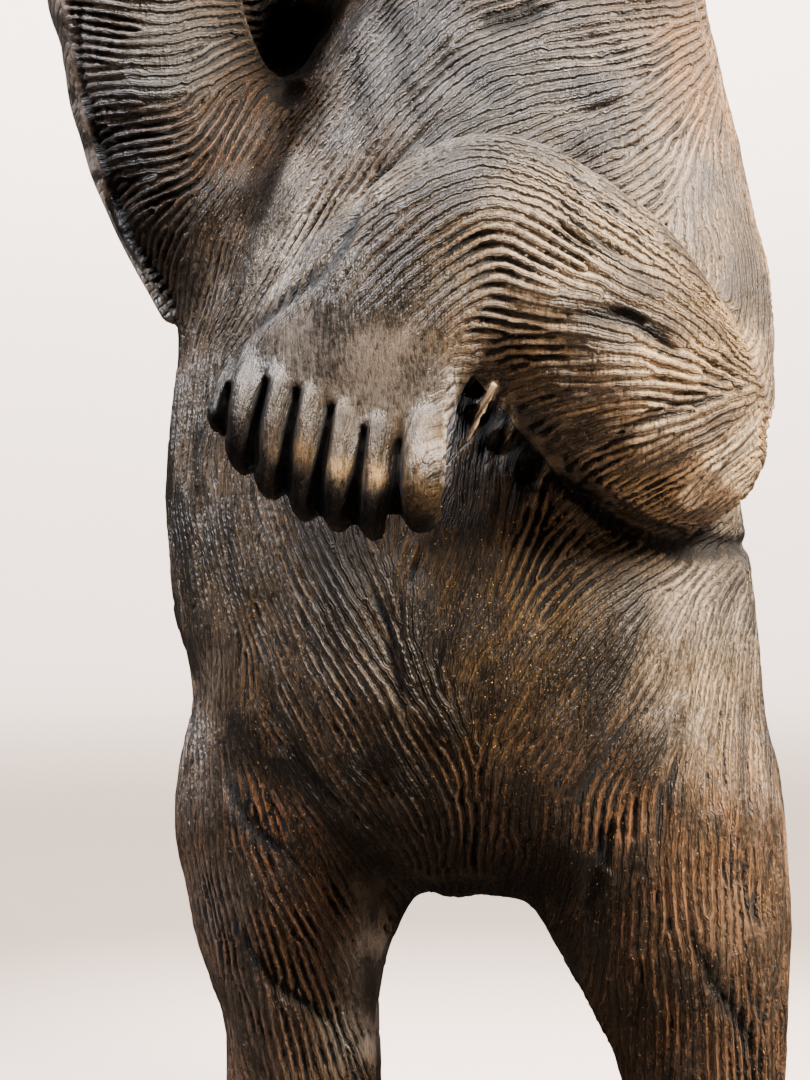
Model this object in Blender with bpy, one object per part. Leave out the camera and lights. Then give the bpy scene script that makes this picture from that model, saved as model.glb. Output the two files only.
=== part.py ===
"""A standing bear carved from one block of wood, one paw across its belly and one raised, on a low base."""

import math

import bmesh
import bpy
import numpy as np
from mathutils import Matrix, Vector
from mathutils.kdtree import KDTree

# Driving sizes, in metres. The figure's own forms are shares of its height.
FIGURE_HEIGHT = 0.480
BASE_WIDTH = 0.205
BASE_DEPTH = 0.170
BASE_THICKNESS = 0.018
BASE_EDGE_ROUND = 0.005
BASE_CENTRE_X = -0.004
BASE_CENTRE_Y = -0.020
BASE_SQUARENESS = 3

# The figure is drawn 480 units high, from the soles to the claws of the raised paw.
DRAWN_HEIGHT = 480
UNIT = FIGURE_HEIGHT / DRAWN_HEIGHT
HEAD_X = -4

# How finely the masses and then the details are fused, in drawn units.
MASS_VOXEL = 2.2
DETAIL_VOXEL = 1.3
MASS_SMOOTHING = 14
DETAIL_SMOOTHING = 5
MOST_TRIANGLES = 9600
FINE_FAVOUR = 1.5e-4
SOLE_SINK = 1.5

# The fur locks that show from a step away.
LOCK_SPACING = 12.0
LOCK_DEPTH = 1.5
LOCK_SEED = 7
LOCK_ROUNDS = 40
FORM_BLEND = 5

# Where the locks are swept sideways: the middle height, the spread and the strength.
BELLY_SWEEP = (130, 45, -0.014)
CHEST_SWEEP = (285, 35, 1.4)
ARM_SWEEP = (285, 40, 3.0)

# Forms along a line of stations: x, y, z, half width across, half depth, in drawn units.
# The bear looks along -Y, and +X is its left.
TORSO = [
    (0, 6, 108, 52, 40),
    (0, 2, 116, 68.5, 54),
    (0.2, -1, 128, 72, 58),
    (-1, -4, 146, 70.5, 60),
    (-5, -3, 170, 71.3, 59),
    (-5.6, 0, 196, 71.2, 57),
    (-4, 4, 226, 69, 54),
    (1, 7, 262, 58, 51),
    (9, 8, 296, 43, 48),
    (7, 6, 324, 42, 45),
    (2, 3, 350, 43, 42),
    (-2, -2, 374, 40, 38),
]
RUMP = [
    (-2, 24, 104, 50, 28),
    (-2, 32, 122, 54, 30),
    (-3, 30, 152, 46, 26),
]
RIGHT_LEG = [
    (-34, 2, 134, 28, 40),
    (-41, -3, 112, 33, 43),
    (-42.8, -5, 90, 31.7, 38),
    (-44, -6, 70, 25, 30),
    (-42.8, -4, 54, 20.2, 25),
    (-43, -1, 36, 20.2, 23),
    (-43.5, 1, 18, 21, 24),
    (-43.5, 1, 6, 20, 24),
]
LEFT_LEG = [
    (34, 2, 134, 28, 40),
    (42, -3, 112, 33, 43),
    (46.1, -5, 90, 32.6, 38),
    (50.9, -6, 71, 27.9, 30),
    (55.2, -4, 54, 23.7, 25),
    (57, -1, 36, 20.5, 23),
    (57, 1, 18, 20.5, 24),
    (57, 1, 6, 20, 24),
]
LEFT_UPPER_ARM = [
    (24.5, 4, 318, 28.5, 32),
    (31.5, -4, 290, 27.5, 31),
    (39, -14, 256, 27, 29),
    (46.5, -27, 224, 27, 27),
    (49.5, -40, 197, 24, 25),
]
LEFT_FOREARM = [
    (50, -42, 192, 22.5, 23.5),
    (45, -54, 199, 25.5, 24),
    (36, -66, 211, 26, 24),
    (25, -75, 223, 24.5, 22),
    (13, -79, 231, 22, 19.5),
    (2, -85, 226, 20.5, 16.5),
]
LEFT_HAND = [
    (8, -82, 231, 20, 17),
    (-2, -87, 220, 21, 15),
    (-10, -89, 209, 24, 11.5),
    (-14, -89, 201, 25, 9),
]
RIGHT_ARM = [
    (-44, 6, 208, 14, 22),
    (-55, -2, 240, 27, 28),
    (-71.5, -9, 272, 25.5, 28),
    (-79.5, -17, 302, 24, 28),
    (-82, -27, 330, 25, 28),
    (-83, -38, 357, 26.5, 26),
    (-83, -48, 382, 25, 23),
    (-80, -56, 404, 22.5, 20),
    (-77, -60, 422, 24, 15.5),
    (-75, -60, 438, 25, 12),
    (-74, -58, 449, 22, 8),
]
RIGHT_FLANK = [
    (-40, 20, 190, 24, 18),
    (-54, 21, 232, 26, 18),
    (-66, 20, 270, 27, 16),
    (-72, 16, 304, 26, 16),
    (-72, 6, 334, 26, 20),
]
RIGHT_BLADE = [
    (-22, 28, 222, 28, 24),
    (-34, 29, 272, 28, 25),
    (-40, 29, 306, 28, 23),
    (-38, 27, 326, 28, 25),
]
RIGHT_SHOULDER = [
    (-16, 14, 322, 30, 34),
    (-42, 12, 328, 32, 30),
    (-64, 0, 334, 29, 28),
    (-80, -20, 340, 26, 25),
]
SKULL = [
    (-4, 10, 388, 37, 34),
    (-4, 0, 393, 45, 40),
    (-4, -16, 392, 44, 38),
    (-4, -34, 386, 35, 30),
]
MUZZLE = [
    (-4, -30, 382, 30, 24),
    (-4, -50, 379, 24, 18.5),
    (-4, -66, 377.5, 20, 14.5),
    (-4, -78, 377, 15.5, 11.5),
]
JAW = [
    (-4, -34, 368, 24, 14),
    (-4, -56, 362.5, 17, 9),
    (-4, -73, 361.5, 12.5, 6.5),
]


def scaled(row):
    """A row of drawn units in metres, standing on the base."""
    x, y, z, *sizes = row
    place = Vector((x, y, z - SOLE_SINK)) * UNIT
    place.z += BASE_THICKNESS
    return place, [size * UNIT for size in sizes]


def between(rows, t):
    """The station at t from 0 to 1, on a smooth curve through all the rows."""
    steps = t * (len(rows) - 1)
    first = min(int(steps), len(rows) - 2)
    s = steps - first
    picked = [rows[min(max(first + k, 0), len(rows) - 1)] for k in (-1, 0, 1, 2)]
    a, b, c, d = (np.array(row, float) for row in picked)
    return 0.5 * (2 * b + (c - a) * s + (2 * a - 5 * b + 4 * c - d) * s**2 + (3 * b - a - 3 * c + d) * s**3)


def add_tube(bm, rows, side=(1, 0, 0), steps=14, sides=28, cap_rings=4, cap=1.0):
    """A closed tube with domed ends through the rows, its half widths along side and square to it."""
    samples = [between(rows, k / steps) for k in range(steps + 1)]
    centres = [scaled(sample)[0] for sample in samples]
    widths = [scaled(sample)[1] for sample in samples]
    rings = []
    for k, centre in enumerate(centres):
        ahead = centres[min(k + 1, steps)] - centres[max(k - 1, 0)]
        ahead.normalize()
        across = Vector(side) - ahead * ahead.dot(Vector(side))
        across.normalize()
        deep = ahead.cross(across)
        shares = [0.0]
        if k == 0:
            shares = [-math.pi / 2 * (1 - i / cap_rings) for i in range(1, cap_rings + 1)]
        elif k == steps:
            shares = [math.pi / 2 * i / cap_rings for i in range(cap_rings)]
        for angle in shares:
            out = ahead * math.sin(angle) * min(widths[k]) * cap
            turn = [2 * math.pi * i / sides for i in range(sides)]
            spots = [
                centre + out + math.cos(angle) * (across * widths[k][0] * math.cos(a) + deep * widths[k][1] * math.sin(a))
                for a in turn
            ]
            rings.append([bm.verts.new(spot) for spot in spots])
    for low, high in zip(rings, rings[1:]):
        for i in range(sides):
            j = (i + 1) % sides
            bm.faces.new((low[i], low[j], high[j], high[i]))
    bm.faces.new(rings[0][::-1])
    bm.faces.new(rings[-1])


def add_ball(bm, centre, sizes, tilt=0):
    """An ellipsoid with its half sizes along X, Y and Z, leaning sideways by tilt degrees."""
    place, radii = scaled((*centre, *sizes))
    turn = Matrix.Rotation(math.radians(tilt), 4, "Y")
    matrix = Matrix.Translation(place) @ turn @ Matrix.Diagonal((*radii, 1))
    bmesh.ops.create_icosphere(bm, subdivisions=4, radius=1, matrix=matrix)


def add_masses(bm):
    """The body, the limbs and the head, before any detail."""
    add_tube(bm, TORSO, steps=30, sides=40, cap=0.5)
    add_tube(bm, RUMP, cap=0.5)
    add_tube(bm, RIGHT_LEG)
    add_tube(bm, LEFT_LEG)
    add_tube(bm, LEFT_UPPER_ARM)
    add_tube(bm, RIGHT_ARM, steps=24)
    add_tube(bm, RIGHT_FLANK)
    add_tube(bm, RIGHT_BLADE)
    add_tube(bm, RIGHT_SHOULDER, side=(0, 0, 1))
    add_tube(bm, SKULL)
    add_tube(bm, MUZZLE)
    add_tube(bm, JAW)


# Which way the breadth of the forearm and of the hand lies.
FOREARM_SIDE = (0.6, 0, 0.8)
HAND_SIDE = (1, 0, -0.3)


def add_forearm(bm):
    """The left forearm, bent over the belly, with its hand hanging from the wrist."""
    add_tube(bm, LEFT_FOREARM, side=FOREARM_SIDE, steps=20)
    add_tube(bm, LEFT_HAND, side=HAND_SIDE, cap=0.5)


# The left hand's digits: x, z of the knuckle, x, z of the tip, half width.
LEFT_DIGITS = [
    (-38.4, 198, -39.6, 189.5, 2.2),
    (-33.0, 200, -34.6, 181.6, 2.85),
    (-26.4, 200, -28.8, 176.2, 2.9),
    (-19.9, 197, -21.8, 172.0, 2.95),
    (-13.2, 193, -15.0, 169.8, 3.0),
    (-6.0, 190, -7.7, 168.0, 3.1),
    (3.6, 188, 2.0, 169.6, 4.8),
]
DIGIT_FRONT_Y = -97
OUTER_DIGIT_SETBACK = 3
HAND_FRONT_Y = -76
SLOT_DEPTH = 5.0
SLOT_SPREAD = 1.3
SLOT_STEPS = 24


def add_left_digits(bm):
    """Blunt fluted digits that hang from the knuckles and curl in towards the belly."""
    for k, (top_x, top, tip_x, tip, half) in enumerate(LEFT_DIGITS):
        front = DIGIT_FRONT_Y + (OUTER_DIGIT_SETBACK if k == 0 else 0)
        rows = [
            (top_x, front + 8, top + 7, half * 0.8, half),
            (top_x, front + 2, top - 1, half * 0.95, half * 1.35),
            ((top_x + tip_x) / 2, front, (top + tip) / 2, half, half * 1.45),
            (tip_x, front + 3, tip + half * 1.9, half * 0.98, half * 1.4),
            (tip_x, front + 7.5, tip + half * 0.9, half * 0.8, half),
        ]
        add_tube(bm, rows, steps=10, sides=14, cap_rings=3)


def cut_hand_slots(points):
    """Pushes the skin back in a narrow slot between each two digits of the left hand."""
    x, y = points[:, 0] / UNIT, points[:, 1] / UNIT
    z = (points[:, 2] - BASE_THICKNESS) / UNIT
    push = np.zeros(len(points))
    for left, right in zip(LEFT_DIGITS, LEFT_DIGITS[1:]):
        top_x, top, tip_x, tip, _ = (np.array(left) + np.array(right)) / 2
        for k in range(SLOT_STEPS + 1):
            share = k / SLOT_STEPS
            gap = np.hypot(x - top_x + share * (top_x - tip_x), z - top + share * (top - tip))
            push = np.maximum(push, SLOT_DEPTH * np.exp(-((gap / SLOT_SPREAD) ** 2)))
    points[:, 1] += push * (y < HAND_FRONT_Y) * UNIT


# The raised paw's digits: how many, how far apart, about which x, and how high the middle ones reach.
RAISED_DIGITS = 6
RAISED_PITCH = 7.2
RAISED_CENTRE_X = -74
RAISED_TIP = 474
RAISED_ARCH = 9
RAISED_ROOT = (-62, 436, 3.8, 6)

# A raised digit and its claw: share of the splay, y, height over the tip, half width, half depth.
RAISED_DIGIT = [
    (0, -66, -22, 4.2, 6.5),
    (1, -68, -9, 4.1, 5.6),
    (1.5, -72, -1, 3.0, 3.2),
    (1.5, -77, 3, 1.6, 1.6),
]


def add_raised_digits(bm):
    """The digits of the raised paw, in a shallow arch, with their claws bent forward."""
    middle = (RAISED_DIGITS - 1) / 2
    for k in range(RAISED_DIGITS):
        splay = (k - middle) / middle
        x = RAISED_CENTRE_X + (k - middle) * RAISED_PITCH
        tip = RAISED_TIP - RAISED_ARCH * splay**2
        rows = [((x + RAISED_CENTRE_X) / 2, *RAISED_ROOT)]
        rows += [(x + splay * share, y, tip + up, half, deep) for share, y, up, half, deep in RAISED_DIGIT]
        add_tube(bm, rows, steps=10, sides=14, cap_rings=3)


# The feet: how far each turns out, and its toes.
FOOT_TURN = 5
FOOT_TOES = 5
TOE_PITCH = 8.2
TOE_FRONT_Y = -50
TOE_ARCH = 5

# A foot: share of the turn, y, z, half width, half depth.
FOOT = [
    (0.0, 18, 13, 18, 13),
    (0.2, -4, 15, 21, 16),
    (0.6, -26, 13, 22.5, 13.5),
    (1.0, -42, 9.5, 22, 9.5),
]

# A toe and its claw: share of the splay, y before the toe's front, z, half width, half depth.
TOE = [
    (0, 14, 9, 4.2, 6.5),
    (1, 0, 8, 4.3, 6.5),
    (1.5, -6, 5.5, 2.6, 3.4),
    (1.5, -12, 3.2, 1.6, 1.8),
]


def add_foot(bm, ankle_x, turn):
    """A broad flat foot with its toes and claws at the front, resting on the base."""
    add_tube(bm, [(ankle_x + turn * share, *rest) for share, *rest in FOOT])
    middle = (FOOT_TOES - 1) / 2
    for k in range(FOOT_TOES):
        splay = (k - middle) / middle
        x = ankle_x + turn + (k - middle) * TOE_PITCH
        front = TOE_FRONT_Y + TOE_ARCH * splay**2
        toe = [(x + splay * share, front + y, *rest) for share, y, *rest in TOE]
        add_tube(bm, toe, steps=8, sides=14, cap_rings=3)


# The face's paired forms: centre from the middle of the head, half sizes, tilt in degrees.
FACE_PAIRS = {
    "brow": ((18, -46, 402), (12, 12, 7), 12),
    "eye": ((16.5, -57.5, 394.5), (4.2, 4.2, 3.8), 0),
    "cheek": ((27, -26, 377), (17, 20, 19), 0),
    "ear": ((34, 0, 426), (13, 8, 14), 24),
}
NOSE = ((-87, 384), (10, 6.5, 6))


def add_face(bm):
    """A plain bear's face: brows, eyes, cheeks, round ears and the nose."""
    for (x, y, z), sizes, tilt in FACE_PAIRS.values():
        for hand in (-1, 1):
            add_ball(bm, (HEAD_X + hand * x, y, z), sizes, hand * tilt)
    (y, z), sizes = NOSE
    add_ball(bm, (HEAD_X, y, z), sizes)


def add_base(bm):
    """The low oval slab left under the feet, with a rounded edge."""
    sides, edge_steps = 72, 4
    power = BASE_SQUARENESS
    ring = []
    for k in range(sides):
        angle = 2 * math.pi * k / sides
        swell = (abs(math.cos(angle)) ** power + abs(math.sin(angle)) ** power) ** (-1 / power)
        across = Vector((BASE_WIDTH / 2 * math.cos(angle), BASE_DEPTH / 2 * math.sin(angle), 0))
        ring.append(Vector((BASE_CENTRE_X, BASE_CENTRE_Y, 0)) + across * swell)
    levels = [(-BASE_THICKNESS, 0.0), (BASE_THICKNESS - BASE_EDGE_ROUND, 0.0)]
    for k in range(1, edge_steps + 1):
        angle = math.pi / 2 * k / edge_steps
        height = BASE_THICKNESS - BASE_EDGE_ROUND * (1 - math.sin(angle))
        levels.append((height, BASE_EDGE_ROUND * (1 - math.cos(angle))))
    centre = Vector((BASE_CENTRE_X, BASE_CENTRE_Y, 0))
    rings = []
    for height, inset in levels:
        verts = []
        for spot in ring:
            inward = (centre - spot).normalized() * inset
            verts.append(bm.verts.new(spot + inward + Vector((0, 0, height))))
        rings.append(verts)
    for low, high in zip(rings, rings[1:]):
        for i in range(sides):
            j = (i + 1) % sides
            bm.faces.new((low[i], low[j], high[j], high[i]))
    bm.faces.new(rings[0][::-1])
    bm.faces.new(rings[-1])


def fused(name, bm, voxel, smoothing):
    """The bmesh as one skin: overlapping shells are fused, and their creases eased."""
    bmesh.ops.recalc_face_normals(bm, faces=bm.faces)
    mesh = bpy.data.meshes.new(name)
    bm.to_mesh(mesh)
    bm.free()
    rough = bpy.data.objects.new(name, mesh)
    bpy.context.scene.collection.objects.link(rough)
    remesh = rough.modifiers.new("Fuse", "REMESH")
    remesh.mode = "VOXEL"
    remesh.voxel_size = voxel * UNIT
    smooth = rough.modifiers.new("Ease", "SMOOTH")
    smooth.factor = 0.5
    smooth.iterations = smoothing
    graph = bpy.context.evaluated_depsgraph_get()
    skin = bpy.data.meshes.new_from_object(rough.evaluated_get(graph))
    bpy.data.objects.remove(rough)
    return skin


def fur_lines():
    """Places along every form with the way the fur runs there, in metres."""
    forms = [
        (TORSO[::-1], 1),
        (RIGHT_LEG, 1),
        (LEFT_LEG, 1),
        (LEFT_UPPER_ARM, 1),
        (LEFT_FOREARM, 1),
        (LEFT_HAND, 1),
        (RIGHT_ARM, 1),
        (SKULL[::-1], -1),
        (MUZZLE[::-1], 1),
    ]
    places, ways, reach = [], [], []
    for rows, sign in forms:
        steps = 4 * len(rows)
        line = [between(rows, k / steps) for k in range(steps + 1)]
        for k, row in enumerate(line):
            ahead = scaled(line[min(k + 1, steps)])[0] - scaled(line[max(k - 1, 0)])[0]
            places.append(scaled(row)[0])
            ways.append(ahead.normalized() * sign)
            reach.append(min(row[3], row[4]) * UNIT)
    return np.array(places), np.array(ways), np.array(reach)


def fur_direction(points, normals):
    """The way the fur runs at each point of the skin: along the nearest form, swept on the belly and the arm."""
    places, ways, reach = fur_lines()
    run = np.empty_like(points)
    for start in range(0, len(points), 4000):
        part = points[start : start + 4000]
        away = np.linalg.norm(part[:, None] - places[None], axis=2) - reach[None]
        weight = np.exp(-away / (FORM_BLEND * UNIT))
        run[start : start + 4000] = (weight @ ways) / weight.sum(1)[:, None]
    x = points[:, 0] / UNIT
    z = (points[:, 2] - BASE_THICKNESS) / UNIT
    front = np.clip(-normals[:, 1], 0, 1)
    for (height, spread, strength), place in (
        (BELLY_SWEEP, front * (x + 8)),
        (CHEST_SWEEP, front * np.exp(-(((x - 15) / 45) ** 2))),
        (ARM_SWEEP, np.clip((-45 - x) / 12, 0, 1)),
    ):
        run[:, 0] += strength * place * np.exp(-(((z - height) / spread) ** 2))
    run -= normals * (run * normals).sum(1)[:, None]
    return run / np.maximum(np.linalg.norm(run, axis=1), 1e-6)[:, None]


def stripe_phase(points, normals, run, spacing, seed, rounds):
    """The phase of even stripes that follow run over the skin, forking where they have to."""
    cell = np.floor(points / (0.6 * spacing)).astype(int)
    _, picked = np.unique(cell, axis=0, return_index=True)
    spots = points[picked]
    across = np.cross(normals[picked], run[picked])
    wave = 2 * math.pi / spacing
    near = KDTree(len(spots))
    for i, spot in enumerate(spots):
        near.insert(spot, i)
    near.balance()
    count = 10
    others = np.array([[found[1] for found in near.find_n(spot, count)] for spot in spots])
    phase = np.random.default_rng(seed).uniform(-math.pi, math.pi, len(spots))
    gap = spots[:, None] - spots[others]
    shift = wave * (across[others] * gap).sum(2)
    same = np.clip((across[others] * across[:, None]).sum(2), 0, 1) ** 2
    weight = same * np.exp(-((np.linalg.norm(gap, axis=2) / (1.2 * spacing)) ** 2))
    for _ in range(rounds):
        phase = np.angle((weight * np.exp(1j * (phase[others] + shift))).sum(1))
    total = np.zeros(len(points), complex)
    found = np.array([[hit[1] for hit in near.find_n(point, 6)] for point in points])
    for k in range(found.shape[1]):
        one = found[:, k]
        offset = points - spots[one]
        size = np.exp(-((np.linalg.norm(offset, axis=1) / (0.7 * spacing)) ** 2))
        total += size * np.exp(1j * (phase[one] + wave * (across[one] * offset).sum(1)))
    return np.angle(total)


def bare_share(points):
    """1 on the base, the digits, the toes and the face, and 0 on the furry parts."""
    x, y = points[:, 0] / UNIT, points[:, 1] / UNIT
    z = (points[:, 2] - BASE_THICKNESS) / UNIT
    low = 1 - np.clip((z - 16) / 10, 0, 1)
    hand = np.clip((-y - 76) / 8, 0, 1) * np.clip((x + 60) / 10, 0, 1) * np.clip((16 - x) / 8, 0, 1)
    digits = hand * np.clip((212 - z) / 10, 0, 1)
    raised = np.clip((z - 424) / 8, 0, 1) * np.clip((-48 - x) / 4, 0, 1)
    face = np.clip((-y - 44) / 10, 0, 1) * np.clip((z - 350) / 8, 0, 1) * np.clip((x + 50) / 6, 0, 1)
    return np.maximum.reduce([low, digits, raised, face])


def carve_locks(mesh):
    """Cuts the gouge lines between the fur locks into the skin, fading where it is bare."""
    count = len(mesh.vertices)
    points = np.empty(count * 3)
    normals = np.empty(count * 3)
    mesh.vertices.foreach_get("co", points)
    mesh.vertices.foreach_get("normal", normals)
    points = points.reshape(-1, 3)
    normals = normals.reshape(-1, 3)
    run = fur_direction(points, normals)
    phase = stripe_phase(points, normals, run, LOCK_SPACING * UNIT, LOCK_SEED, LOCK_ROUNDS)
    groove = (0.5 + 0.5 * np.cos(phase)) ** 2
    furry = 1 - bare_share(points)
    points -= normals * (furry * groove * LOCK_DEPTH * UNIT)[:, None]
    cut_hand_slots(points)
    mesh.vertices.foreach_set("co", points.ravel())
    mesh.update()


def thinned(mesh, most):
    """The skin with no more triangles than asked, and its underside cut flat at the floor."""
    carrier = bpy.data.objects.new("thinned", mesh)
    bpy.context.scene.collection.objects.link(carrier)
    points = np.empty(len(mesh.vertices) * 3)
    mesh.vertices.foreach_get("co", points)
    points = points.reshape(-1, 3)
    fine = (bare_share(points) > 0.5) & (points[:, 2] > BASE_THICKNESS + 2 * UNIT)
    thinning = carrier.vertex_groups.new(name="thinning")
    thinning.add(np.flatnonzero(~fine).tolist(), 1.0, "REPLACE")
    thinning.add(np.flatnonzero(fine).tolist(), 0.5, "REPLACE")
    fewer = carrier.modifiers.new("Thin", "DECIMATE")
    fewer.ratio = most / (2 * len(mesh.polygons))
    fewer.vertex_group = thinning.name
    fewer.vertex_group_factor = FINE_FAVOUR
    graph = bpy.context.evaluated_depsgraph_get()
    skin = bpy.data.meshes.new_from_object(carrier.evaluated_get(graph))
    bpy.data.objects.remove(carrier)
    bm = bmesh.new()
    bm.from_mesh(skin)
    everything = [*bm.verts, *bm.edges, *bm.faces]
    bmesh.ops.bisect_plane(bm, geom=everything, dist=1e-6, plane_co=(0, 0, 0), plane_no=(0, 0, -1), clear_outer=True)
    rim = [edge for edge in bm.edges if edge.is_boundary]
    for vert in {vert for edge in rim for vert in edge.verts}:
        vert.co.z = 0
    bmesh.ops.edgeloop_fill(bm, edges=rim)
    bmesh.ops.triangulate(bm, faces=[face for face in bm.faces if len(face.verts) > 3])
    bm.to_mesh(skin)
    bm.free()
    return skin


def stained_wood():
    """Dark walnut-stained wood under a satin wax."""
    material = bpy.data.materials.new("stained_wood")
    material.use_nodes = True
    shader = material.node_tree.nodes["Principled BSDF"]
    shader.inputs["Base Color"].default_value = (0.09, 0.055, 0.035, 1)
    shader.inputs["Roughness"].default_value = 0.45
    shader.inputs["Metallic"].default_value = 0
    return material


def main():
    for obj in list(bpy.data.objects):
        bpy.data.objects.remove(obj)
    masses = bmesh.new()
    add_masses(masses)
    body = fused("masses", masses, MASS_VOXEL, MASS_SMOOTHING)
    arm = bmesh.new()
    add_forearm(arm)
    forearm = fused("forearm", arm, MASS_VOXEL, MASS_SMOOTHING // 2)
    whole = bmesh.new()
    whole.from_mesh(body)
    whole.from_mesh(forearm)
    add_left_digits(whole)
    add_raised_digits(whole)
    add_foot(whole, RIGHT_LEG[-1][0], -FOOT_TURN)
    add_foot(whole, LEFT_LEG[-1][0], FOOT_TURN)
    add_face(whole)
    add_base(whole)
    skin = fused("whole", whole, DETAIL_VOXEL, DETAIL_SMOOTHING)
    carve_locks(skin)
    skin = thinned(skin, MOST_TRIANGLES)
    skin.name = "bear"
    bear = bpy.data.objects.new("bear", skin)
    bear.data.materials.append(stained_wood())
    bpy.context.scene.collection.objects.link(bear)


main()
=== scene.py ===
import math
from functools import partial

import bmesh
import bpy
import numpy as np
from mathutils import Matrix, Vector
from mathutils.bvhtree import BVHTree
from mathutils.kdtree import KDTree


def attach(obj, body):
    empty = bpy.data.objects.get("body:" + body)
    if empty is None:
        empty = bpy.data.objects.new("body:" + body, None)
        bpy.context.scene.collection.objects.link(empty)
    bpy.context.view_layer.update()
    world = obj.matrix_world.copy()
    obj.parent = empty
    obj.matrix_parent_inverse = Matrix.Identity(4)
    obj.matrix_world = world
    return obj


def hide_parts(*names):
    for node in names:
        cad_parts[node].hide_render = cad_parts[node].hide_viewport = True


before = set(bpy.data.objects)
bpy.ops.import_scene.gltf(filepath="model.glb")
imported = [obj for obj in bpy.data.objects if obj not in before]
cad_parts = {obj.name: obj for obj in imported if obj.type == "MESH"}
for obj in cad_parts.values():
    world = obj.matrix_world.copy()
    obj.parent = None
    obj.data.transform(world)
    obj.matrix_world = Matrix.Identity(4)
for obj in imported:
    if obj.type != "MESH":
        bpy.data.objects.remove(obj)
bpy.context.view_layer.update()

# Lengths in this script are millimetres, and the mesh is turned to metres when it is made.
MM = 0.001
# The height of the soles above the underside, and where the head's middle is along X.
SOLE = 16.5
HEAD_X = -4

# The photograph's frame and the camera that matches it.
PHOTO_WIDTH, PHOTO_HEIGHT = 810, 1080
CAMERA_TURN = math.radians(10)
CAMERA_DISTANCE = 450
CAMERA_HEIGHT = 185
CAMERA_ASIDE = -17
LENS = 60
SENSOR = 36
RIGHTWARD = np.array((math.cos(CAMERA_TURN), math.sin(CAMERA_TURN), 0))
FORWARD = np.array((-math.sin(CAMERA_TURN), math.cos(CAMERA_TURN), 0))
UPWARD = np.array((0, 0, 1.0))
TARGET = RIGHTWARD * CAMERA_ASIDE + UPWARD * CAMERA_HEIGHT
CAMERA_PLACE = TARGET - FORWARD * CAMERA_DISTANCE
PIXELS = PHOTO_HEIGHT * LENS / SENSOR

# The skin: its cells, the rounds that smooth it, and its triangles where the photograph looks and elsewhere.
ROUGH_VOXEL = 1.8
ROUGH_ROUNDS = 14
SKIN_VOXEL = 0.7
SKIN_ROUNDS = 5
SHOWN_TRIANGLES = 128000
HIDDEN_TRIANGLES = 66000

# The cut fur: how far apart the gouge strokes are, how deep they go, and the light that their facets turn to.
STROKE_SPACING = 2.3
STROKE_DEPTH = 0.75
STROKE_ROUNDS = 64
STROKE_SEED = 11
LIGHT_WAY = np.array((0.35, 0, 0.94))

# How the shade is felt for: rays per point, how far they reach, where they start, and how widely they spread.
SHADE_RAYS = 16
SHADE_REACH = 26
SHADE_START = 1.2
SHADE_SPREAD = 0.95
SHADE_SEED = 5

# Points worked on at a time, to spare memory.
BATCH = 20000

# Lines along the forms: x, y, z above the soles, reach. The fur of the hidden sides follows them.
BODY_LINES = [
    [
        (-2, -2, 350, 40), (8, 8, 296, 44), (1, 7, 262, 52),
        (-4, 4, 226, 56), (-6, -3, 170, 62), (-1, -1, 128, 60),
    ],
    [(-34, 2, 134, 32), (-43, -5, 90, 34), (-44, -4, 54, 23), (-43, 0, 8, 21)],
    [(34, 2, 134, 32), (45, -5, 90, 34), (54, -4, 54, 23), (57, 0, 8, 21)],
    [(10, 6, 336, 34), (22, 4, 318, 28), (31, -4, 290, 28), (40, -14, 256, 28), (50, -38, 200, 25)],
    [(-36, 22, 320, 30), (-30, 26, 222, 26)],
]
FOREARM_LINES = [
    [(51, -42, 191, 24), (36, -66, 211, 25), (13, -79, 231, 20), (0, -88, 222, 16), (-15, -88, 195, 12)],
]
ARM_LINES = [
    [
        (-55, -2, 240, 27), (-69, -9, 272, 28), (-76, -17, 302, 27),
        (-83, -38, 357, 26), (-80, -56, 404, 21), (-75, -60, 440, 14),
    ],
]
HEAD_LINES = [
    [(-4, -78, 374, 14), (-4, -50, 378, 22), (-4, -16, 392, 38), (-4, 8, 388, 36)],
]


def along(rows, t):
    """The row at t from 0 to 1, on a smooth curve through all the rows."""
    steps = t * (len(rows) - 1)
    first = min(int(steps), len(rows) - 2)
    s = steps - first
    picked = [rows[min(max(first + k, 0), len(rows) - 1)] for k in (-1, 0, 1, 2)]
    a, b, c, d = (np.array(row, float) for row in picked)
    return 0.5 * (2 * b + (c - a) * s + (2 * a - 5 * b + 4 * c - d) * s**2 + (3 * b - a - 3 * c + d) * s**3)


TUBE_STEPS = 12
TUBE_SIDES = 18


def tube(bm, rows, cap_rings=4):
    """A closed round-ended tube through rows of x, y, z, half width along X, half width square to it."""
    steps, sides = TUBE_STEPS, TUBE_SIDES
    line = [along(rows, k / steps) for k in range(steps + 1)]
    sideways = Vector((1, 0, 0))
    rings = []
    for k, row in enumerate(line):
        ahead = Vector(line[min(k + 1, steps)][:3] - line[max(k - 1, 0)][:3]).normalized()
        across = (sideways - ahead * ahead.dot(sideways)).normalized()
        deep = ahead.cross(across)
        shares = [0.0]
        if k == 0:
            shares = [-math.pi / 2 * (1 - i / cap_rings) for i in range(1, cap_rings + 1)]
        elif k == steps:
            shares = [math.pi / 2 * i / cap_rings for i in range(cap_rings)]
        for angle in shares:
            middle = Vector(row[:3]) + ahead * math.sin(angle) * min(row[3:])
            turn = [2 * math.pi * i / sides for i in range(sides)]
            wide, thick = row[3] * math.cos(angle), row[4] * math.cos(angle)
            spots = [middle + across * wide * math.cos(a) + deep * thick * math.sin(a) for a in turn]
            rings.append([bm.verts.new((spot + Vector((0, 0, SOLE))) * MM) for spot in spots])
    for low, high in zip(rings, rings[1:]):
        for i in range(sides):
            j = (i + 1) % sides
            bm.faces.new((low[i], low[j], high[j], high[i]))
    bm.faces.new(rings[0][::-1])
    bm.faces.new(rings[-1])


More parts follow.
